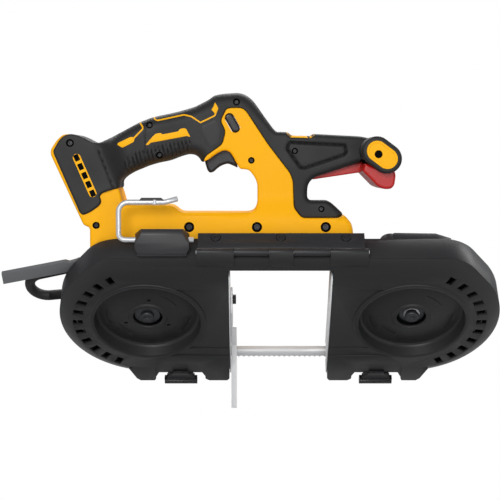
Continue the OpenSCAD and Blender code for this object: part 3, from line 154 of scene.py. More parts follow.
SURFACES = {
    "yellow_shell": material("satin_yellow", srgb(250, 178, 0), 0.5, vary=0.04, bump=0.1, gleam=0.16),
    "black_shell": material("grained_black", srgb(37, 37, 38), 0.42, vary=0.08),
    "gloss_black": material("polished_black", srgb(20, 20, 23), 0.3, bump=0.02),
    "dark_plastic": material("moulded_black", srgb(39, 39, 41), 0.45, vary=0.1, bump=0.15),
    "soft_grip": material("soft_black", srgb(29, 29, 30), 0.6, vary=0.1, grain=1900, bump=0.35),
    "red_paddle": material("satin_red", srgb(178, 18, 14), 0.38, vary=0.05, bump=0.1),
    "wheel_metal": material("blasted_iron", srgb(92, 95, 98), 0.45, metal=0.9, vary=0.12, grain=900,
                            bump=0.2),
    "tyre_rubber": material("tyre_black", srgb(30, 30, 31), 0.7, vary=0.12, grain=1600, bump=0.3),
    "blade_steel": material("rolled_steel", srgb(206, 207, 208), 0.42, metal=0.3, grain=300, bump=0.08,
                            stretch=(0.2, 1, 6)),
    "bright_steel": material("zinc_steel", srgb(234, 235, 236), 0.4, metal=0.35, vary=0.08, grain=500,
                             stretch=(1, 1, 0.2)),
    "wire_steel": material("plated_wire", srgb(206, 208, 211), 0.3, metal=0.45, vary=0.03, grain=600,
                           bump=0.02),
    "dark_steel": material("dark_phosphate", srgb(58, 59, 61), 0.4, metal=0.4, vary=0.12, grain=900,
                           bump=0.15),
    "bar_steel": material("painted_bar", srgb(108, 109, 111), 0.45, metal=0.2, grain=700, bump=0.1),
    "gear_steel": material("cut_steel", srgb(150, 152, 154), 0.3, metal=0.95, vary=0.08, grain=500),
    "case_metal": material("cast_aluminium", srgb(118, 120, 122), 0.5, metal=0.4, vary=0.1, grain=800,
                           bump=0.3),
    "winding": material("varnished_copper", srgb(165, 88, 42), 0.35, metal=0.7, vary=0.2, grain=700,
                        bump=0.3),
    "potting": material("potted_resin", srgb(58, 64, 72), 0.3, vary=0.1, bump=0.1),
    "yellow_accent": material("accent_yellow", srgb(250, 180, 8), 0.5, vary=0.05, gleam=0.16),
    "black_inlay": material("fine_black", srgb(34, 34, 36), 0.55, vary=0.12, grain=2300, bump=0.4),
    "screw_black": material("oxide_black", srgb(52, 52, 54), 0.3, metal=0.5, vary=0.1, grain=900,
                            bump=0.05),
    # Near-black that paints the shade inside screw wells, bolt sockets and vent openings
    "painted_hole_shade": material("painted_socket_shade", srgb(6, 6, 7), 0.75, vary=0.15, bump=0.2, gleam=0.06),
}


# Mesh helpers

BEVEL_SEGMENTS = 2
PIECE_BEVEL_ANGLE = 38
NODE_BEVEL_ANGLE = 34
CORNER_STEPS = 4
SHORTEST_STEP = 0.05
FAR_OFF = 1e9
MESH_TOLERANCE = 1e-4


def round_edges(obj, width, angle):
    """Rounds the edges that are sharper than the angle, by a width in millimetres."""
    bevel = obj.modifiers.new("edges", "BEVEL")
    bevel.width = width / MM
    bevel.segments = BEVEL_SEGMENTS
    bevel.limit_method = "ANGLE"
    bevel.angle_limit = math.radians(angle)


def finish_mesh(obj, slot, body, bevel=0.0, angle=40):
    """Gives a piece its surface, its shading, its rounded edges and the body that it rides on."""
    obj.data.materials.clear()
    obj.data.materials.append(SURFACES[slot])
    obj.data.shade_smooth()
    obj.data.set_sharp_from_angle(angle=math.radians(angle))
    if bevel:
        round_edges(obj, bevel, PIECE_BEVEL_ANGLE)
    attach(obj, body)
    return obj


def new_object(name, verts, faces):
    """A mesh object in the scene, from points in metres and faces."""
    mesh = bpy.data.meshes.new(name)
    mesh.from_pydata([tuple(v) for v in verts], [], faces)
    mesh.update()
    obj = bpy.data.objects.new(name, mesh)
    bpy.context.scene.collection.objects.link(obj)
    return obj


def twice_area(points):
    """Twice the area within an outline, above zero where it runs anticlockwise."""
    total = 0
    for i in range(len(points)):
        total += points[i - 1][0] * points[i][1] - points[i][0] * points[i - 1][1]
    return total


def prism(name, points, low, high, place=at):
    """A solid between two depths with the same outline."""
    if twice_area(points) < 0:
        points = points[::-1]
    n = len(points)
    verts = [place(p[0], low, p[1]) for p in points] + [place(p[0], high, p[1]) for p in points]
    faces = [list(range(n)), list(range(2 * n - 1, n - 1, -1))]
    faces += [[(i + 1) % n, i, n + i, n + (i + 1) % n] for i in range(n)]
    return new_object(name, verts, faces)


def slab(name, points, half, place=at):
    """A prism that reaches as far to both sides of the middle plane."""
    return prism(name, points, -half, half, place)


def side_prism(name, points, side, inner, outer):
    """A prism on one side, between two distances from the middle plane."""
    low, high = sorted((side * inner, side * outer))
    return prism(name, points, low, high)


def circle(cx, cz, r, n=48):
    """The outline of a circle with n sides."""
    turns = [2 * math.pi * i / n for i in range(n)]
    return [(cx + r * math.cos(turn), cz + r * math.sin(turn)) for turn in turns]


def obround(a, b, r, n=24):
    """The outline of a half circle round b and another round a, with straight sides between."""
    a = np.array(a, float)
    b = np.array(b, float)
    heading = math.atan2(b[1] - a[1], b[0] - a[0])
    out = []
    for centre, start in ((b, heading - math.pi / 2), (a, heading + math.pi / 2)):
        for i in range(n + 1):
            turn = start + math.pi * i / n
            out.append(tuple(centre + r * np.array((math.cos(turn), math.sin(turn)))))
    return out


def cut(obj, *cutters):
    """Takes the cutters out of obj and drops them."""
    for cutter in cutters:
        difference = obj.modifiers.new("cut", "BOOLEAN")
        difference.operation = "DIFFERENCE"
        difference.solver = "EXACT"
        difference.object = cutter
        graph = bpy.context.evaluated_depsgraph_get()
        mesh = bpy.data.meshes.new_from_object(obj.evaluated_get(graph))
        obj.modifiers.remove(difference)
        obj.data = mesh
        bpy.data.objects.remove(cutter)
    return obj


def rounded(points, r, step):
    """An outline with each corner turned into a short curve, in steps no longer than step."""
    corners = [np.array(p, float) for p in points]
    if twice_area(corners) < 0:
        corners = corners[::-1]
    curve = []
    for i, p in enumerate(corners):
        before = corners[i - 1]
        after = corners[(i + 1) % len(corners)]
        to_before = np.linalg.norm(before - p)
        to_after = np.linalg.norm(after - p)
        reach = min(r, 0.45 * to_before, 0.45 * to_after)
        start = p + (before - p) / to_before * reach
        end = p + (after - p) / to_after * reach
        for k in range(CORNER_STEPS + 1):
            t = k / CORNER_STEPS
            curve.append((1 - t) ** 2 * start + 2 * t * (1 - t) * p + t * t * end)
    out = []
    for i, a in enumerate(curve):
        b = curve[(i + 1) % len(curve)]
        length = np.linalg.norm(b - a)
        if length < SHORTEST_STEP:
            continue
        count = max(1, int(math.ceil(length / step)))
        out += [a + (b - a) * j / count for j in range(count)]
    return np.array(out)


def line_distance(p, a, b):
    """The least distance of each point from a set of straight pieces a to b."""
    best = np.full(len(p), FAR_OFF)
    for i in range(len(a)):
        d = b[i] - a[i]
        t = np.clip(((p - a[i]) @ d) / max(d @ d, 1e-9), 0, 1)
        best = np.minimum(best, np.hypot(*(p - a[i] - t[:, None] * d).T))
    return best


def inside(p, outline):
    """Which of the points lie inside an outline."""
    outline = np.asarray(outline, float)
    within = np.zeros(len(p), bool)
    j = len(outline) - 1
    for i in range(len(outline)):
        xi, zi = outline[i]
        xj, zj = outline[j]
        crosses = (zi > p[:, 1]) != (zj > p[:, 1])
        if zj != zi:
            within ^= crosses & (p[:, 0] < (xj - xi) * (p[:, 1] - zi) / (zj - zi) + xi)
        j = i
    return within


def ease(t):
    """A smooth step from 0 to 1."""
    t = np.clip(t, 0, 1)
    return t * t * (3 - 2 * t)


def level(value):
    """A half width or an edge that is the same at every point."""
    return lambda x, z: np.full(len(x), value)


def grid_over(line, spacing, stagger=0.0):
    """Grid points inside an outline, with every other row moved along by the stagger."""
    x0, z0 = line.min(0)
    x1, z1 = line.max(0)
    gx, gz = np.meshgrid(np.arange(x0, x1, spacing), np.arange(z0, z1, spacing))
    gx = gx + (np.arange(gx.shape[0]) % 2)[:, None] * stagger
    p = np.stack((gx.ravel(), gz.ravel()), 1)
    return p[inside(p, line)]


def triangulate(line, inner):
    """The points, anticlockwise triangles and border edges of a flat mesh over an outline."""
    count = len(line)
    flat = [Vector((float(q[0]), float(q[1]))) for q in np.concatenate((line, inner))]
    ring = [(i, (i + 1) % count) for i in range(count)]
    found, _, triangles, _, _, _ = delaunay_2d_cdt(flat, ring, [], 1, MESH_TOLERANCE)
    points = np.array([(v.x, v.y) for v in found])
    faces = []
    edges = {}
    for triangle in triangles:
        face = list(triangle)
        if twice_area([points[i] for i in face]) < 0:
            face = face[::-1]
        faces.append(face)
        for i in range(len(face)):
            edges[(face[i - 1], face[i])] = True
    border = [(i, j) for (i, j) in edges if (j, i) not in edges]
    return points, faces, border


class Form:
    """A moulded solid: an outline in X and Z, a half width at each point and a rounded edge all round."""

    STEP = 1.8
    ON_LINE = 0.01
    NEAR_TIGHT = 1.6
    # Edges narrower than this get rows of points that follow them closely
    FINE_EDGE = 3
    WIDE_ROWS = ((0.04, 1), (0.15, 1), (0.33, 2), (0.56, 2), (0.83, 2))
    FINE_ROWS = ((0.12, 0), (0.42, 0), (1.0, 0), (1.0, 0.9))
    WIDE_SHARE = 0.9
    FINE_SHARE = 0.93
    # How far grid points stay from the rows of a fine edge, and any point from the outline
    ROW_ROOM = 1.5
    GRID_ROOM = 1.2
    EXTRA_ROOM = 3
    # Of the points in one cell, the first is kept
    CELL = 0.45
    SEAM_HALF = 0.5
    SEAM_DEPTH = 0.45

    def __init__(self, points, half, edge, corner, tight=None, tight_edge=0.0, detail=None):
        self.line = rounded(points, corner, self.STEP)
        self.ends = np.roll(self.line, -1, axis=0)
        self.half = half
        self.detail = detail
        self.pieces = [(self.line, self.ends, edge)]
        if tight is not None:
            run = np.array(tight, float)
            middles = (self.line + self.ends) / 2
            near = line_distance(middles, run[:-1], run[1:]) < self.NEAR_TIGHT
            self.pieces = [(self.line[~near], self.ends[~near], edge),
                           (self.line[near], self.ends[near], level(tight_edge))]
        along = self.ends - np.roll(self.line, 1, axis=0)
        along /= np.linalg.norm(along, axis=1)[:, None]
        self.inward = np.stack((-along[:, 1], along[:, 0]), 1)

    def height(self, p):
        """The surface's distance from the middle plane at each point."""
        p = np.asarray(p, float)
        half = self.half(p[:, 0], p[:, 1])
        lowest = np.full(len(p), FAR_OFF)
        for starts, ends, edge in self.pieces:
            e = edge(p[:, 0], p[:, 1])
            d = np.minimum(line_distance(p, starts, ends), e)
            lowest = np.minimum(lowest, half - e + np.sqrt(np.maximum(e * e - (e - d) ** 2, 0)))
        if self.detail:
            lowest = lowest + self.detail(p[:, 0], p[:, 1])
        return lowest

    def edge_widths(self):
        """The width of the rounded edge at each point of the outline."""
        widths = np.full(len(self.line), FAR_OFF)
        for starts, ends, edge in self.pieces:
            on = line_distance(self.line, starts, ends) < self.ON_LINE
            here = edge(self.line[:, 0], self.line[:, 1])
            widths = np.where(on, np.minimum(widths, here), widths)
        return widths

    def row(self, depth, wanted, share):
        """The outline moved inwards by a depth, where no other part of the outline comes close."""
        p = self.line + self.inward * depth[:, None]
        free = line_distance(p, self.line, self.ends) > share * depth
        return p[wanted & inside(p, self.line) & free]

    def inner_points(self, grid, extra, clear):
        """The points within the outline: rows along wide edges, a grid, the extra points and fine rows."""
        widths = self.edge_widths()
        fine = widths < self.FINE_EDGE
        points = [self.row(widths * k, ~fine, self.WIDE_SHARE)[::every] for k, every in self.WIDE_ROWS]
        rows = [self.row(widths * k + beyond, fine, self.FINE_SHARE) for k, beyond in self.FINE_ROWS]

        p = grid_over(self.line, grid, grid / 2)
        nearest = np.argmin(((p[:, None, :] - self.line[None, :, :]) ** 2).sum(2), axis=1)
        room = np.where(fine[nearest], widths[nearest] + self.ROW_ROOM, self.GRID_ROOM)
        keep = line_distance(p, self.line, self.ends) > room
        for run, reach in clear:
            run = np.array(run, float)
            keep &= line_distance(p, run[:-1], run[1:]) > reach
        points.append(p[keep])

        for run in extra:
            p = np.asarray(run, float)
            free = line_distance(p, self.line, self.ends) > self.EXTRA_ROOM
            points.append(p[inside(p, self.line) & free])
        cells = {}
        for q in np.concatenate(points):
            cells.setdefault((round(q[0] / self.CELL), round(q[1] / self.CELL)), q)
        return np.concatenate([np.array(list(cells.values()))] + rows)

    def mesh(self, name, grid, extra=(), clear=(), seam=True):
        """The solid: finer at the extra points, without grid points by the clear runs, and seamed or not."""
        xz, triangles, border = triangulate(self.line, self.inner_points(grid, extra, clear))
        h = self.height(xz)
        count = len(xz)
        verts = [at(xz[i][0], -h[i], xz[i][1]) for i in range(count)]
        verts += [at(xz[i][0], h[i], xz[i][1]) for i in range(count)]
        faces = []
        for triangle in triangles:
            faces.append(triangle)
            faces.append([count + i for i in reversed(triangle)])
        rim = dict(border)
        columns = {}
        for i in rim:
            x, z = xz[i]
            near = int(np.argmin(((self.line - xz[i]) ** 2).sum(1)))
            inset = self.inward[near] * (self.SEAM_DEPTH if seam else 0)
            first = len(verts)
            verts.append(at(x, -self.SEAM_HALF, z))
            verts.append(at(x + inset[0], 0, z + inset[1]))
            verts.append(at(x, self.SEAM_HALF, z))
            columns[i] = [i, first, first + 1, first + 2, count + i]
        for i, j in rim.items():
            here = columns[i]
            there = columns[j]
            for k in range(4):
                faces.append([there[k], here[k], here[k + 1], there[k + 1]])
        return new_object(name, verts, faces)


INLAY_STEP = 1.0
INLAY_GRID = 1.6
INLAY_DEPTH = 0.8


def patch(name, host, points, rise, slot, corner=1.0, sides=NEAR_SIDE, lift=0.0):
    """A thin inlay that follows the host's surface a little above it."""
    line = rounded(points, corner, INLAY_STEP)
    ends = np.roll(line, -1, axis=0)
    inner = grid_over(line, INLAY_GRID)
    inner = inner[line_distance(inner, line, ends) > 0.7]
    xz, triangles, border = triangulate(line, inner)
    h = host.height(xz)
    top = h + lift + rise * np.minimum(1, 0.35 + line_distance(xz, line, ends) / 0.8)
    base = h - INLAY_DEPTH
    count = len(xz)
    verts = []
    faces = []
    for side in sides:
        start = len(verts)
        verts += [at(xz[i][0], side * top[i], xz[i][1]) for i in range(count)]
        verts += [at(xz[i][0], side * base[i], xz[i][1]) for i in range(count)]
        for triangle in triangles:
            up = [start + i for i in triangle]
            down = [start + count + i for i in reversed(triangle)]
            faces += [up, down] if side < 0 else [up[::-1], down[::-1]]
        for i, j in border:
            wall = [start + j, start + i, start + count + i, start + count + j]
            faces.append(wall if side < 0 else wall[::-1])
    obj = new_object(name, verts, faces)
    return finish_mesh(obj, slot, "body", angle=35)


def band(points, width):
    """A thin closed outline round an open run of points."""
    p = [np.array(q, float) for q in points]
    left = []
    right = []
    for i, q in enumerate(p):
        before = p[max(i - 1, 0)]
        after = p[min(i + 1, len(p) - 1)]
        d = (after - before) / np.linalg.norm(after - before)
        aside = np.array((-d[1], d[0])) * width / 2
        left.append(q + aside)
        right.append(q - aside)
    return [tuple(q) for q in left + right[::-1]]


def line_points(points, offsets, closed=True, step=1.2):
    """Points beside a run of points, for a finer mesh there."""
    p = np.array(points, float)
    if closed:
        p = np.concatenate((p, p[:1]))
    out = []
    for i in range(len(p) - 1):
        d = p[i + 1] - p[i]
        length = np.linalg.norm(d)
        aside = np.array((-d[1], d[0])) / length
        for t in np.arange(0, length, step):
            out += [p[i] + d * t / length + aside * offset for offset in offsets]
    return out


# Outlines of the body in X and Z, in millimetres
# The yellow shells and the black handle and arm meet along the post

POST = [(66, 118.7), (24, 118.7), (15, 130), (14.2, 159.3), (11, 168.3), (-13.7, 200.3), (-38.4, 237.6),
        (-43.5, 240.5), (-54.5, 240.5), (-59.5, 239.4), (-66, 226.3), (-60.3, 215), (-64, 200.3),
        (-82.3, 187.5), (-85.4, 180.8)]
YELLOW_FOOT_AND_BAR = [
    (-239, 211.2), (-245.6, 205.6), (-252.2, 196), (-253.4, 191.8), (-252.6, 187.6), (-217.4, 111),
    (-210.4, 108.6), (-210.4, 60), (80.8, 60), (80.8, 104.6), (78.8, 113.5), (70.4, 122.8)]
YELLOW_HAND_HOLE = [
    (-79, 184), (-69, 191.2), (-61.8, 194), (-56.4, 192.5), (-52.6, 187.5), (-46.6, 176),
    (-44.2, 173), (-34.7, 172.4), (-28.3, 164.2), (-25.1, 156.2), (-25.1, 134.8), (-28, 127.8),
    (-34.2, 125.3), (-110, 125.3), (-120, 133.2), (-172.8, 133.2), (-178.4, 152), (-207, 201.4),
    (-216, 207.4), (-223, 210), (-231, 211.6)]
YELLOW = YELLOW_FOOT_AND_BAR + POST + YELLOW_HAND_HOLE

BLACK_HANDLE_TOP = [
    (-231, 211.8), (-223, 210.4), (-216, 207.5), (-208.7, 203.4), (-203, 201.8), (-198, 202.2),
    (-186, 209), (-181.5, 211.8), (-158, 224.5), (-143, 230.6), (-114, 236.8), (-95, 242.3),
    (-79.4, 250.2), (-73.5, 255), (-64, 256.8), (-46, 258), (-38.4, 255.7), (-31.3, 250.4),
    (-26.3, 244), (-17, 230.5), (-7.7, 217.8)]
BLACK_ARM = [
    (-4.3, 214.4), (5.8, 214.1), (8.8, 213.9), (12.4, 210.4), (33.4, 209.8), (36.6, 212),
    (40.5, 211.9), (90, 209.3), (104, 206), (110.5, 190), (100.4, 176.2), (90, 180.7),
    (38.7, 163.9), (34.4, 160.4), (31.4, 156), (30.3, 150), (30.4, 141), (33.6, 138), (53, 138),
    (58.2, 134.6), (70.6, 123)]
BLACK_HANDLE_BOTTOM = [
    (-87.4, 181.3), (-91, 186.4), (-95, 189), (-101.5, 189.8), (-111, 187.1), (-121.6, 182.8),
    (-135.7, 180), (-146, 177), (-163, 170), (-171.7, 165.1), (-177.6, 160), (-177, 152),
    (-185.6, 150.2), (-196.4, 146.4), (-199, 143.3), (-197, 137), (-200, 132), (-210, 125),
    (-217.8, 122), (-221.3, 125), (-249.6, 190), (-249.9, 193.5), (-243.9, 204), (-238.2, 209.8)]
BLACK = BLACK_HANDLE_TOP + BLACK_ARM + POST + BLACK_HANDLE_BOTTOM

# The sunk panel on the arm, the ribbed field on the handle and the crease in front of the foot's cheek
TRIANGLE = [(9.2, 200), (11.1, 202.6), (72.2, 199.4), (73.8, 191.6), (71, 188.6), (27.6, 173.9),
            (22.6, 174.6), (7.9, 195)]
RIBS = [(-172, 166), (-176, 178), (-168, 190), (-150, 196), (-104, 208), (-98, 206), (-96, 186)]
CREASE = [(-199.4, 192), (-183.4, 151)]

# Half widths, edge radii and depths of the moulded details
FOOT_FRONT = -150
BODY_HALF = 31
FOOT_SWELL = 2
POST_DRAW_IN = 10.5
ARM_HALF = 17.9
NECK_HALF = 18.4
NECK_SWELL = 15.5
CHEEK_HALF = 35.1
GRIP_EDGE = 13.5
ARM_EDGE = 6.0
CHEEK_EDGE = 2.2
GROOVE_WIDTH = 1.3
CREASE_DEPTH = 1.2
PANEL_GROOVE = 2.3
PANEL_DEPTH = 1.0
RIB_DEPTH = 1.5
RIB_PITCH = 4.4


def crease_side(x, z):
    """How far a point lies to the front of the crease between the foot's cheek and the handle."""
    a, b = CREASE
    d = np.array((b[0] - a[0], b[1] - a[1]), float)
    d /= np.linalg.norm(d)
    return -((x - a[0]) * d[1] - (z - a[1]) * d[0])


def yellow_half(x, z):
    """Half the body's width: widest at the foot, drawn in up the post."""
    foot = BODY_HALF + FOOT_SWELL * ease((-190 - x) / 14)
    along_bar = np.where(z > 150, 1, ease((x + 100) / 60))
    post = BODY_HALF - POST_DRAW_IN * ease((z - 113) / 34) * along_bar
    return np.where(x < FOOT_FRONT, foot, post)


def yellow_edge(x, z):
    """The body's edge radius: softest along the lower bar."""
    return np.where(x < -190, 3.5, np.where(z > 122, 2.6, 6.0))


def black_half(x, z):
    """Half the handle's width: the foot's cheek, the neck that swells towards it, and the arm."""
    s = crease_side(x, z)
    neck = NECK_HALF + NECK_SWELL * (1 - ease(s / 34)) ** 1.6
    cheek = np.where(s < 0, CHEEK_HALF, np.minimum(CHEEK_HALF, neck + 0.6))
    return np.where(x < FOOT_FRONT, cheek, ARM_HALF)


def black_edge(x, z):
    """The handle's edge radius: tight on the cheek, round on the grip and smaller along the arm."""
    s = crease_side(x, z)
    grip_edge = GRIP_EDGE - (GRIP_EDGE - ARM_EDGE) * ease((x + 45) / 40)
    return np.where(x < -120, CHEEK_EDGE + (GRIP_EDGE - CHEEK_EDGE) * ease(s / 26), grip_edge)


def groove(d):
    """A round-bottomed groove, 1 deep on its line."""
    return np.exp(-(d / GROOVE_WIDTH) ** 2)


def black_detail(x, z):
    """What the crease, the sunk panel and the ribs take off the handle and the arm."""
    p = np.stack((x, z), 1)
    on_crease = (x < -175) & (z < 196)
    out = -np.where(on_crease, CREASE_DEPTH * groove(crease_side(x, z)), 0)
    panel = np.array(TRIANGLE, float)
    to_panel = line_distance(p, panel, np.roll(panel, -1, axis=0))
    out -= PANEL_GROOVE * groove(to_panel) + np.where(inside(p, panel), PANEL_DEPTH, 0)
    ribs = np.array(RIBS, float)
    to_ribs = line_distance(p, ribs, np.roll(ribs, -1, axis=0))
    across_ribs = x * 0.97 + z * 0.24
    wave = np.maximum(0, np.cos(across_ribs * 2 * math.pi / RIB_PITCH)) ** 2
    out -= np.where(inside(p, ribs), np.minimum(1, to_ribs / 3) * RIB_DEPTH * wave, 0)
    return out


yellow = Form(YELLOW, yellow_half, yellow_edge, corner=4, tight=POST + [(-79, 184)], tight_edge=1.2)
black = Form(BLACK, black_half, black_edge, corner=4, tight=POST + [(-87, 182)], tight_edge=1.4,
             detail=black_detail)


# What is cut out of the body

# The drive's centres on the head, as X and the height up the face, and the gear case's lobes round them
WHEEL_CENTRE = (-150, 0)
GEAR_CENTRE = (-114.39, 34.39)
MOTOR_CENTRE = (-144.96, 42.01)
CASE = [circle(*WHEEL_CENTRE, 48.4, 72), circle(*GEAR_CENTRE, 33.4, 60), circle(*MOTOR_CENTRE, 29.4, 60)]

# How deep the head's room reaches behind the cover's face, and from where to where the others do
HEAD_ROOM = [(-320, -200), (320, -200), (320, 220), (-320, 220)]
HEAD_ROOM_DEPTH = (-200, 37.4)
CASE_ROOM_DEPTH = (36, 67.5)
MOTOR_ROOM_DEPTH = (60, 108)
MOTOR_ROOM_RADIUS = 25.3

# The rooms that the moving pieces need, each with its half width
TRIGGER_WELL = [(-88.5, 190), (-88.5, 160), (-37.5, 160), (-37.5, 188), (-44, 201), (-54, 213),
                (-74, 213), (-80, 202)]
TRIGGER_WELL_HALF = 7.1
PADDLE_ROOM = [(87.4, 170), (87.2, 176), (90, 185.6), (91.4, 185.8), (100.4, 182.4), (111.4, 181.4),
               (124.8, 180), (126.6, 173.8), (126.8, 166), (125, 154), (121, 150), (113.4, 149.6),
               (104, 151.4), (88.8, 167.4)]
PADDLE_ROOM_HALF = 48.7
LEVER_ROOM = [(34.6, 158), (93, 166), (93, 188), (90, 187.6), (59.2, 178), (44, 174.4), (40, 174.2),
              (36, 172.8), (34.2, 169.6)]
LEVER_ROOM_HALF = 6.7
BUTTON_LOW = (-49.8, 218.4)
BUTTON_HIGH = (-56.2, 229.6)
BUTTON_RADIUS = 4.9
BUTTON_ROOM_RADIUS = 5.3
BUTTON_ROOM_HALF = 60

# The battery bay and its rail grooves in the bay's own frame, its middle and how far it is turned
BAY = [(-12, -34), (8, -34), (8, 44), (-12, 44)]
BAY_HALF = 24
BAY_RAILS = [(-8, -34), (-4, -34), (-4, 44), (-8, 44)]
BAY_RAILS_HALF = 27
BAY_X = -237.4
BAY_Z = 148.5
BAY_TURN = math.radians(154)

# The screws: X, Z, the well's radius and the moulding that it is sunk into
SCREWS = [(-25.8, 109, 5.7, yellow), (50.2, 109, 5.7, yellow), (-100.7, 109, 5.7, yellow),
          (-145, 221.6, 3.7, black), (-134, 188.6, 3.7, black), (-48.5, 247, 3.9, black),
          (-32, 182.6, 3.7, yellow), (-231.2, 201.6, 4.4, black), (-203.4, 111, 3.9, yellow),
          (16.4, 193, 3.5, black), (46, 128.5, 3.5, black)]
WELL_DEPTH = 3.65
SCREW_SIDES = 32


def head_cutters():
    """What the head, the gear case and the motor take out of the body."""
    out = [prism("cut_head", HEAD_ROOM, *HEAD_ROOM_DEPTH, head)]
    out += [prism("cut_case", lobe, *CASE_ROOM_DEPTH, head) for lobe in CASE]
    motor_room = circle(*MOTOR_CENTRE, MOTOR_ROOM_RADIUS, 60)
    out.append(prism("cut_motor", motor_room, *MOTOR_ROOM_DEPTH, head))
    return out


def bay_place(x, y, z):
    """A point of the battery bay: x into the foot and z along the rails."""
    c = math.cos(BAY_TURN)
    s = math.sin(BAY_TURN)
    return at(BAY_X + x * c + z * s, y, BAY_Z - x * s + z * c)


def face_height(host, x, z):
    """The host's half width at one point."""
    return float(host.height(np.array([(x, z)]))[0])


def wells():
    """One mesh with every screw well, on both sides."""
    n = SCREW_SIDES
    verts = []
    faces = []
    for x, z, r, host in SCREWS:
        h = face_height(host, x, z)
        for low, high in ((-h - 4, -h + WELL_DEPTH), (h - WELL_DEPTH, h + 4)):
            start = len(verts)
            ring = circle(x, z, r, n)
            verts += [at(p[0], low, p[1]) for p in ring] + [at(p[0], high, p[1]) for p in ring]
            faces.append([start + i for i in range(n)])
            faces.append([start + i for i in range(2 * n - 1, n - 1, -1)])
            for i in range(n):
                j = (i + 1) % n
                faces.append([start + j, start + i, start + n + i, start + n + j])
    return new_object("cut_wells", verts, faces)


# The yellow body

body_shells = yellow.mesh("body_shells", grid=3.4)
cut(body_shells, *head_cutters())
cut(body_shells, slab("cut_well", TRIGGER_WELL, TRIGGER_WELL_HALF))
button_room = obround(BUTTON_HIGH, BUTTON_LOW, BUTTON_ROOM_RADIUS)
cut(body_shells, slab("cut_button", button_room, BUTTON_ROOM_HALF))
cut(body_shells, wells())
cut(body_shells, slab("cut_bay", BAY, BAY_HALF, bay_place))
cut(body_shells, slab("cut_rails", BAY_RAILS, BAY_RAILS_HALF, bay_place))
finish_mesh(body_shells, "yellow_shell", "body", angle=34)
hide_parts("right_body_shell", "left_body_shell")

# The black handle and arm, with a finer mesh along the panel, the crease and the ribs

PANEL_OFFSETS = (-2.6, -1.7, -0.8, 0, 0.8, 1.7, 2.6)
panel_points = line_points(TRIANGLE, PANEL_OFFSETS)
crease_points = line_points(CREASE, (-4,) + PANEL_OFFSETS + (4,), closed=False)
rib_points = [(x, z) for x in np.arange(-178, -94, 1.1) for z in np.arange(165, 209, 2.2)]
grip = black.mesh("handle_and_arm", grid=2.2, clear=[(TRIANGLE + TRIANGLE[:1], 3.2), (CREASE, 4.6)],
                  extra=[panel_points, crease_points, rib_points])
cut(grip, slab("cut_well", TRIGGER_WELL, TRIGGER_WELL_HALF))
cut(grip, wells())
cut(grip, slab("cut_lever", LEVER_ROOM, LEVER_ROOM_HALF))
cut(grip, slab("cut_paddle", PADDLE_ROOM, PADDLE_ROOM_HALF))
finish_mesh(grip, "soft_grip", "body", angle=50)
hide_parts("right_grip_skin", "left_grip_skin", "right_arm_shell", "left_arm_shell")

# The motor housing on the far side, with a ring of slots in its end

MOTOR_RADIUS = 28.1
MOTOR_DEPTH = (60, 115.4)
MOTOR_SLOTS = 12
SLOT_DEPTH = (109, 120)
SLOT = ((12, -1.6), (22, -1.6), (22, 1.6), (12, 1.6))
motor = prism("motor_housing", circle(*MOTOR_CENTRE, MOTOR_RADIUS, 96), *MOTOR_DEPTH, head)
slots = []
for k in range(MOTOR_SLOTS):
    c = math.cos(2 * math.pi * k / MOTOR_SLOTS)
    s = math.sin(2 * math.pi * k / MOTOR_SLOTS)
    quad = [(MOTOR_CENTRE[0] + c * r - s * t, MOTOR_CENTRE[1] + s * r + c * t) for r, t in SLOT]
    slots.append(prism("cut_slot", quad, *SLOT_DEPTH, head))
cut(motor, *slots)
finish_mesh(motor, "yellow_shell", "body", bevel=2.0, angle=34)

# Inlays on the handle and the arm

LINE_WIDTH = 1.7
REAR_ACCENT = [(-179.5, 202), (-166, 208.5), (-161, 208), (-162.5, 203), (-175, 196.6), (-180.6, 200)]
REAR_LINE = [(-163, 206.4), (-157, 212.6), (-152.4, 217.4), (-152.6, 219.6), (-156, 224.6)]
FRONT_LINE = [(-140.4, 231), (-139, 227.9), (-136, 226.9), (-107, 233.1), (-98.6, 231.2),
              (-88.4, 224.4), (-72.6, 232), (-69.6, 239.8)]
FRONT_ACCENT = [(-72.4, 247), (-68.6, 240.4), (-71.4, 233.4), (-76.2, 238.6), (-73.8, 242.4)]
BADGE = [(-149.4, 199.8), (-146.4, 199.6), (-143.6, 202.2), (-103.6, 209.6), (-99.7, 208.5),
         (-104.2, 217.3), (-106.4, 218.3), (-111.3, 217.3), (-113.5, 214.5), (-130.4, 211.4),
         (-133, 213), (-138.2, 212), (-141.8, 208.8)]
FINGER_PATCH = [(-86.8, 220.7), (-71.7, 228), (-65.6, 215), (-67.9, 202), (-76.8, 196.8), (-86, 212)]
ARM_INLAY = [(6.6, 213.4), (8.4, 213.6), (12.4, 210.2), (33.4, 209.6), (36.6, 211.8), (38.6, 211.2),
             (34, 207.4), (11.6, 208)]
patch("rear_accent", black, REAR_ACCENT, 0.5, "yellow_accent")
patch("rear_accent_line", black, band(REAR_LINE, LINE_WIDTH), 0.45, "yellow_accent", corner=0.5)
patch("front_accent_line", black, band(FRONT_LINE, LINE_WIDTH), 0.45, "yellow_accent", corner=0.5)
patch("front_accent", black, FRONT_ACCENT, 0.5, "yellow_accent")
patch("badge", black, BADGE, 0.6, "yellow_accent", corner=0.8)
patch("finger_patch", black, FINGER_PATCH, 0.35, "black_inlay", sides=BOTH_SIDES)
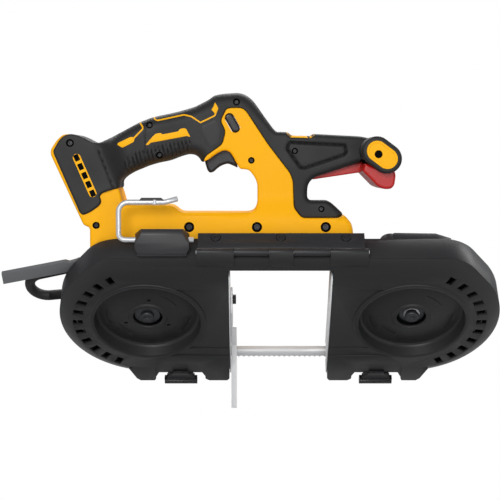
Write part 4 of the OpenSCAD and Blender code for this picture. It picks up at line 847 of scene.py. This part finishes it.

# The slotted vent in each cheek of the foot, its openings painted shade: flat near-black patches on the
# surface

VENT_A = (-223.8, 185.4)
VENT_B = (-206.6, 146.4)
VENT_SLOTS = 5
WINDOW = ((-3.7, -2.8), (3.7, -2.8), (3.7, 2.8), (-3.7, 2.8))
patch("vent_frame", black, obround(VENT_A, VENT_B, 4.3), 0.5, "yellow_accent", sides=BOTH_SIDES)
vent_run = np.array(VENT_B) - np.array(VENT_A)
along = vent_run / np.linalg.norm(vent_run)
across = np.array((-along[1], along[0]))
for k in range(VENT_SLOTS):
    middle = np.array(VENT_A) + vent_run * k / (VENT_SLOTS - 1)
    quad = [tuple(middle + along * u + across * v) for u, v in WINDOW]
    # Each slot is a near-black patch of painted shade where the opening would be dark
    patch("vent_slot_%d" % k, black, quad, 0.1, "painted_hole_shade", sides=BOTH_SIDES, corner=0.9, lift=0.5)
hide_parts("vent_inserts")
patch("arm_inlay", black, ARM_INLAY, 0.4, "yellow_accent", sides=BOTH_SIDES, corner=0.4)

# Screws at the bottom of their wells: each a cup of near-black painted shade and a head with a hexagon socket

# Depths under the moulding's face, and the head's and its socket's share of the well's radius
CUP_BOTTOM = 3.7
CUP_FLOOR = 3.4
CUP_RIM = 0.15
HEAD_BOTTOM = 3.6
HEAD_TOP = 2.2
HEAD_SHARE = 0.58
SOCKET_FLOOR = 3.0
SOCKET_SHARE = 0.32
for i, (x, z, r, host) in enumerate(SCREWS):
    h = face_height(host, x, z)
    above = h + 2
    for side in BOTH_SIDES:
        cup_ring = circle(x, z, r + 0.3, SCREW_SIDES)
        cup = side_prism("screw_cup_%d_%d" % (i, side > 0), cup_ring, side, h - CUP_BOTTOM, h - CUP_RIM)
        cup_hole = circle(x, z, r - 0.2, SCREW_SIDES)
        cut(cup, side_prism("cut_cup", cup_hole, side, h - CUP_FLOOR, above))
        # The cup's near-black paints the shade at the bottom of the well
        finish_mesh(cup, "painted_hole_shade", "body", bevel=0.15)
        head_ring = circle(x, z, r * HEAD_SHARE, SCREW_SIDES)
        top = side_prism("screw_head_%d_%d" % (i, side > 0), head_ring, side, h - HEAD_BOTTOM, h - HEAD_TOP)
        hexagon = circle(x, z, r * SOCKET_SHARE, 6)
        cut(top, side_prism("cut_hex", hexagon, side, h - SOCKET_FLOOR, above))
        finish_mesh(top, "screw_black", "body", bevel=0.25)
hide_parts("body_screws")

# The cross handle and its end caps, each with the bolt's socket

CROSS_BACK = (103.8, 192.6)
CROSS_FRONT = (115, 184.2)
CROSS_RADIUS = 16
CROSS_HALF = 62.0
CAP_BOLT = (105.4, 189.1)
CAP_SEAT = 60.6
CAP_FLOOR = 60.7
CAP_FACE = 62.3
CAP_TOP = 62.9
BEYOND = 70
cross = Form(obround(CROSS_BACK, CROSS_FRONT, CROSS_RADIUS), level(CROSS_HALF), level(3.2), corner=0.1)
cross_obj = cross.mesh("cross_handle", grid=3, seam=False)
cut(cross_obj, slab("cut_paddle", PADDLE_ROOM, PADDLE_ROOM_HALF))
cut(cross_obj, slab("cut_lever", LEVER_ROOM, LEVER_ROOM_HALF))
cap_room = obround(CROSS_BACK, CROSS_FRONT, 11.4)
cut(cross_obj, *[side_prism("cut_cap", cap_room, side, CAP_SEAT, BEYOND) for side in BOTH_SIDES])
finish_mesh(cross_obj, "soft_grip", "body", angle=35)
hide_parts("front_grips")
caps = []
for side in BOTH_SIDES:
    cap_outline = obround(CROSS_BACK, CROSS_FRONT, 11.1)
    cap = side_prism("end_cap_%d" % (side > 0), cap_outline, side, CAP_FLOOR, CAP_TOP)
    cut(cap, side_prism("cut_face", obround(CROSS_BACK, CROSS_FRONT, 8.6), side, CAP_FACE, BEYOND))
    cut(cap, side_prism("cut_hole", circle(*CAP_BOLT, 4.3), side, 58, BEYOND))
    finish_mesh(cap, "yellow_accent", "body", bevel=0.4)
    # The socket is a near-black disc of painted shade inside the bolt's hole
    socket = side_prism("cap_socket_%d" % (side > 0), circle(*CAP_BOLT, 4.25, 32), side, CAP_SEAT, 61.1)
    cut(socket, side_prism("cut_hex", circle(*CAP_BOLT, 2.2, 6), side, 60.8, BEYOND))
    finish_mesh(socket, "painted_hole_shade", "body", bevel=0.1)
    caps += [cap, socket]
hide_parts("grip_end_caps")
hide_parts("grip_bolt")

# The red paddle and its stalk, with the hole for its pin

PADDLE = [(89.4, 170.8), (91.6, 168.6), (106.2, 153.8), (113.6, 151), (120.6, 151.5), (124.1, 155.3),
          (125.6, 166), (124.4, 171.4), (112, 173.8), (101, 175.8), (92, 179.6)]
STALK = [(36.4, 161.2), (90, 169.2), (92.4, 181.4), (60, 174.8), (42, 172.8), (38, 172.2), (35.6, 168.4)]
LEVER_PIN = (40, 168.4)
paddle = Form(PADDLE, level(48.0), level(2.4), corner=2.5).mesh("paddle", grid=3, seam=False)
finish_mesh(paddle, "red_paddle", "paddle_body", angle=40)
stalk = Form(STALK, level(6.0), level(1.2), corner=1.6).mesh("paddle_stalk", grid=3, seam=False)
cut(stalk, slab("cut_pin", circle(*LEVER_PIN, 2.1, 24), 9))
finish_mesh(stalk, "red_paddle", "paddle_body", angle=40)
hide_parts("front_lever")

# The trigger and the lock button above it

TRIGGER = [(-84.6, 187), (-83.8, 180), (-81.2, 171.6), (-78.6, 168.6), (-74.4, 169.6), (-70, 173.8),
           (-66.4, 176.3), (-62, 178.2), (-57.8, 179), (-51.5, 176.4), (-47.2, 174), (-48.4, 182),
           (-54, 194), (-60, 208.4), (-68, 208.4), (-72, 200)]
trigger = Form(TRIGGER, level(6.6), level(2.6), corner=2).mesh("trigger_lever", grid=2.4, seam=False)
finish_mesh(trigger, "gloss_black", "trigger_body", angle=40)
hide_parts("trigger")
button_form = Form(obround(BUTTON_HIGH, BUTTON_LOW, BUTTON_RADIUS), level(22.2), level(1.8), corner=0.1)
button = button_form.mesh("lock_button", grid=2, seam=False)
finish_mesh(button, "gloss_black", "button_body", angle=40)
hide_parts("lock_off_button")

# The wire hook with its pad and sleeve

WIRE_RADIUS = 2.85
WIRE_SIDES = 24
WIRE_END = 0.6
WIRE_END_SHARE = 0.78
ARC_STEPS = 10
HOOK_Y = -57.77
HOOK_ROUTE = [(-94.5, 96.38), (-176.3, 96.38), (-176.3, 137.2), (-126, 137.2), (-112, 141)]
HOOK_BENDS = (7, 11, 14)
HOOK_PAD = [(-153.5, 139.2), (-151.6, 142), (-130, 142), (-126.8, 139.2)]
HOOK_PAD_Y = (-60.4, -55.2)
HOOK_SLEEVE = [(-139, 134), (-134.6, 134), (-134.6, 140.4), (-139, 140.4)]
HOOK_SLEEVE_Y = (-61, -54.5)


def unit(d):
    """The direction of d, one long."""
    return d / np.linalg.norm(d)


def bent(points, bends):
    """A run of points with an arc of the given radius at each inner corner."""
    path = [np.array(points[0], float)]
    for i, bend in enumerate(bends):
        before, p, after = (np.array(q, float) for q in points[i:i + 3])
        back = unit(before - p)
        on = unit(after - p)
        between = math.acos(float(back @ on))
        centre = p + unit(back + on) * bend / math.sin(between / 2)
        start = p + back * bend / math.tan(between / 2) - centre
        end = p + on * bend / math.tan(between / 2) - centre
        sweep = math.acos(float(np.clip(start @ end / bend / bend, -1, 1)))
        for k in range(ARC_STEPS + 1):
            t = k / ARC_STEPS
            arm = start * math.sin((1 - t) * sweep) + end * math.sin(t * sweep)
            path.append(centre + arm / math.sin(sweep))
    path.append(np.array(points[-1], float))
    return path


def tube(name, path, r, y):
    """A round wire along a path in one upright plane, its two ends a little chamfered."""
    first = unit(path[1] - path[0]) * WIRE_END
    last = unit(path[-1] - path[-2]) * WIRE_END
    path = [path[0], path[0] + first] + path[1:-1] + [path[-1] - last, path[-1]]
    verts = []
    faces = []
    for i, p in enumerate(path):
        d = unit(path[min(i + 1, len(path) - 1)] - path[max(i - 1, 0)])
        size = r * WIRE_END_SHARE if i in (0, len(path) - 1) else r
        for k in range(WIRE_SIDES):
            aside = size * math.cos(2 * math.pi * k / WIRE_SIDES)
            deep = size * math.sin(2 * math.pi * k / WIRE_SIDES)
            verts.append(at(p[0] - d[1] * aside, y + deep, p[1] + d[0] * aside))
    for i in range(len(path) - 1):
        here = i * WIRE_SIDES
        there = here + WIRE_SIDES
        for k in range(WIRE_SIDES):
            m = (k + 1) % WIRE_SIDES
            faces.append([here + k, here + m, there + m, there + k])
    faces.append(list(range(WIRE_SIDES - 1, -1, -1)))
    faces.append([(len(path) - 1) * WIRE_SIDES + k for k in range(WIRE_SIDES)])
    obj = new_object(name, verts, faces)
    shell = bmesh.new()
    shell.from_mesh(obj.data)
    bmesh.ops.recalc_face_normals(shell, faces=shell.faces)
    shell.to_mesh(obj.data)
    shell.free()
    return obj


wire = tube("hook_wire", bent(HOOK_ROUTE, HOOK_BENDS), WIRE_RADIUS, HOOK_Y)
finish_mesh(wire, "wire_steel", "hook_body", angle=50)
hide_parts("hang_hook")
pad = prism("hook_pad", HOOK_PAD, *HOOK_PAD_Y)
finish_mesh(pad, "dark_plastic", "hook_body", bevel=0.5)
sleeve = prism("hook_sleeve", HOOK_SLEEVE, *HOOK_SLEEVE_Y)
finish_mesh(sleeve, "wire_steel", "hook_body", bevel=1.4)

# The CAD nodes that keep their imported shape
# ROUND gives the width of their rounded edges in millimetres, OWN a surface other than their slot's

WELD_DISTANCE = 0.00001
FLAT_ANGLE = 2
NODE_SHARP_ANGLE = 32
ROUND = {"frame_housing": 1.2, "blade_cover": 0.5, "hinge_rail": 0.5, "rear_cover_latch": 0.6,
         "front_cover_latch": 0.6, "hook_retainer": 0.9, "gearcase": 1.0, "tension_lever": 1.2,
         "work_stop": 0.3, "rafter_hook": 0.6, "rear_blade_guide": 0.5, "front_blade_guide": 0.5,
         "drive_wheel": 0.4, "idler_wheel": 0.4, "tension_slide": 0.5, "rail_screws": 0.3,
         "terminal_block": 0.3}
OWN = {"rafter_hook": "bar_steel", "rail_screws": "screw_black", "work_stop": "bright_steel"}
REPLACED = {"right_body_shell", "left_body_shell", "right_grip_skin", "left_grip_skin",
            "right_arm_shell", "left_arm_shell", "vent_inserts", "body_screws", "front_grips",
            "hang_hook", "grip_end_caps", "grip_bolt", "front_lever", "trigger", "lock_off_button"}
slots_of = {row["node"]: row["material_slot"] for row in frame["record"]["subparts"]}
for name, obj in nodes.items():
    if name in REPLACED:
        continue
    obj.data.materials.clear()
    obj.data.materials.append(SURFACES[OWN.get(name, slots_of[name])])
    weld = obj.modifiers.new("weld", "WELD")
    weld.merge_threshold = WELD_DISTANCE
    if name in ROUND:
        flat = obj.modifiers.new("flat", "DECIMATE")
        flat.decimate_type = "DISSOLVE"
        flat.angle_limit = math.radians(FLAT_ANGLE)
        round_edges(obj, ROUND[name], NODE_BEVEL_ANGLE)
    obj.data.shade_smooth()
    obj.data.set_sharp_from_angle(angle=math.radians(NODE_SHARP_ANGLE))


# Floor and surroundings, both plain white to the camera

FLOOR_REACH = 6
FLOOR_Z = -0.0005
WHITE = (1, 1, 1, 1)


def white_to_camera(tree, lit, white, end):
    """Shows the white shader to the camera and the lit one to all other rays."""
    rays = tree.nodes.new("ShaderNodeLightPath")
    pick = tree.nodes.new("ShaderNodeMixShader")
    tree.links.new(rays.outputs["Is Camera Ray"], pick.inputs[0])
    tree.links.new(lit.outputs[0], pick.inputs[1])
    tree.links.new(white.outputs[0], pick.inputs[2])
    tree.links.new(pick.outputs[0], end)


floor_corners = [(-FLOOR_REACH, -FLOOR_REACH, FLOOR_Z), (FLOOR_REACH, -FLOOR_REACH, FLOOR_Z),
                 (FLOOR_REACH, FLOOR_REACH, FLOOR_Z), (-FLOOR_REACH, FLOOR_REACH, FLOOR_Z)]
floor = new_object("floor", floor_corners, [[0, 1, 2, 3]])
floor_surface = bpy.data.materials.new("pale_floor")
floor_surface.use_nodes = True
floor_tree = floor_surface.node_tree
floor_shader = floor_tree.nodes["Principled BSDF"]
floor_shader.inputs["Base Color"].default_value = (0.5, 0.5, 0.5, 1)
floor_shader.inputs["Roughness"].default_value = 0.9
glow = floor_tree.nodes.new("ShaderNodeEmission")
glow.inputs["Color"].default_value = WHITE
glow.inputs["Strength"].default_value = 1.0
white_to_camera(floor_tree, floor_shader, glow, floor_tree.nodes["Material Output"].inputs["Surface"])
floor.data.materials.append(floor_surface)

world = bpy.data.worlds.new("studio")
bpy.context.scene.world = world
world.use_nodes = True
sky_tree = world.node_tree
sky = sky_tree.nodes["Background"]
sky.inputs["Color"].default_value = (0.93, 0.95, 1.0, 1)
sky.inputs["Strength"].default_value = 0.34
backdrop = sky_tree.nodes.new("ShaderNodeBackground")
backdrop.inputs["Color"].default_value = WHITE
backdrop.inputs["Strength"].default_value = 1.0
white_to_camera(sky_tree, sky, backdrop, sky_tree.nodes["World Output"].inputs["Surface"])


# Lamps and camera

def lamp(name, place, aim, size, power):
    """A rectangular lamp that faces the aim."""
    data = bpy.data.lights.new(name, "AREA")
    data.shape = "RECTANGLE"
    data.size = size[0]
    data.size_y = size[1]
    data.energy = power
    obj = bpy.data.objects.new(name, data)
    obj.location = place
    obj.rotation_euler = (Vector(aim) - Vector(place)).to_track_quat("-Z", "Y").to_euler()
    bpy.context.scene.collection.objects.link(obj)


lamp("key", (-0.5, -2.0, 0.9), (0, 0, 0.2), (1.0, 0.8), 25.5)
lamp("low", (0.5, -1.9, 0.1), (0, 0, 0.15), (0.8, 0.5), 8)
lamp("top", (0.1, 0.9, 1.3), (0, 0, 0.2), (1.4, 0.6), 18)
lamp("rim", (1.4, 0.5, 0.9), (0, 0, 0.2), (0.6, 1.0), 8)

# The focal length was fitted to the photo in its pixels, and the camera looks a little down
FOCAL_PIXELS = 1442
PICTURE_PIXELS = 500
SENSOR_WIDTH = 36
LOOK_DOWN = 3.4
camera = bpy.data.cameras.new("camera")
camera.sensor_width = SENSOR_WIDTH
camera.lens = FOCAL_PIXELS / PICTURE_PIXELS * SENSOR_WIDTH
camera.clip_start = 0.05
eye = bpy.data.objects.new("camera", camera)
eye.location = at(-33.5, -1622.1, 178.2)
eye.rotation_euler = (math.radians(90 - LOOK_DOWN), 0, 0)
bpy.context.scene.collection.objects.link(eye)
bpy.context.scene.camera = eye
bpy.context.scene.view_settings.view_transform = "Standard"
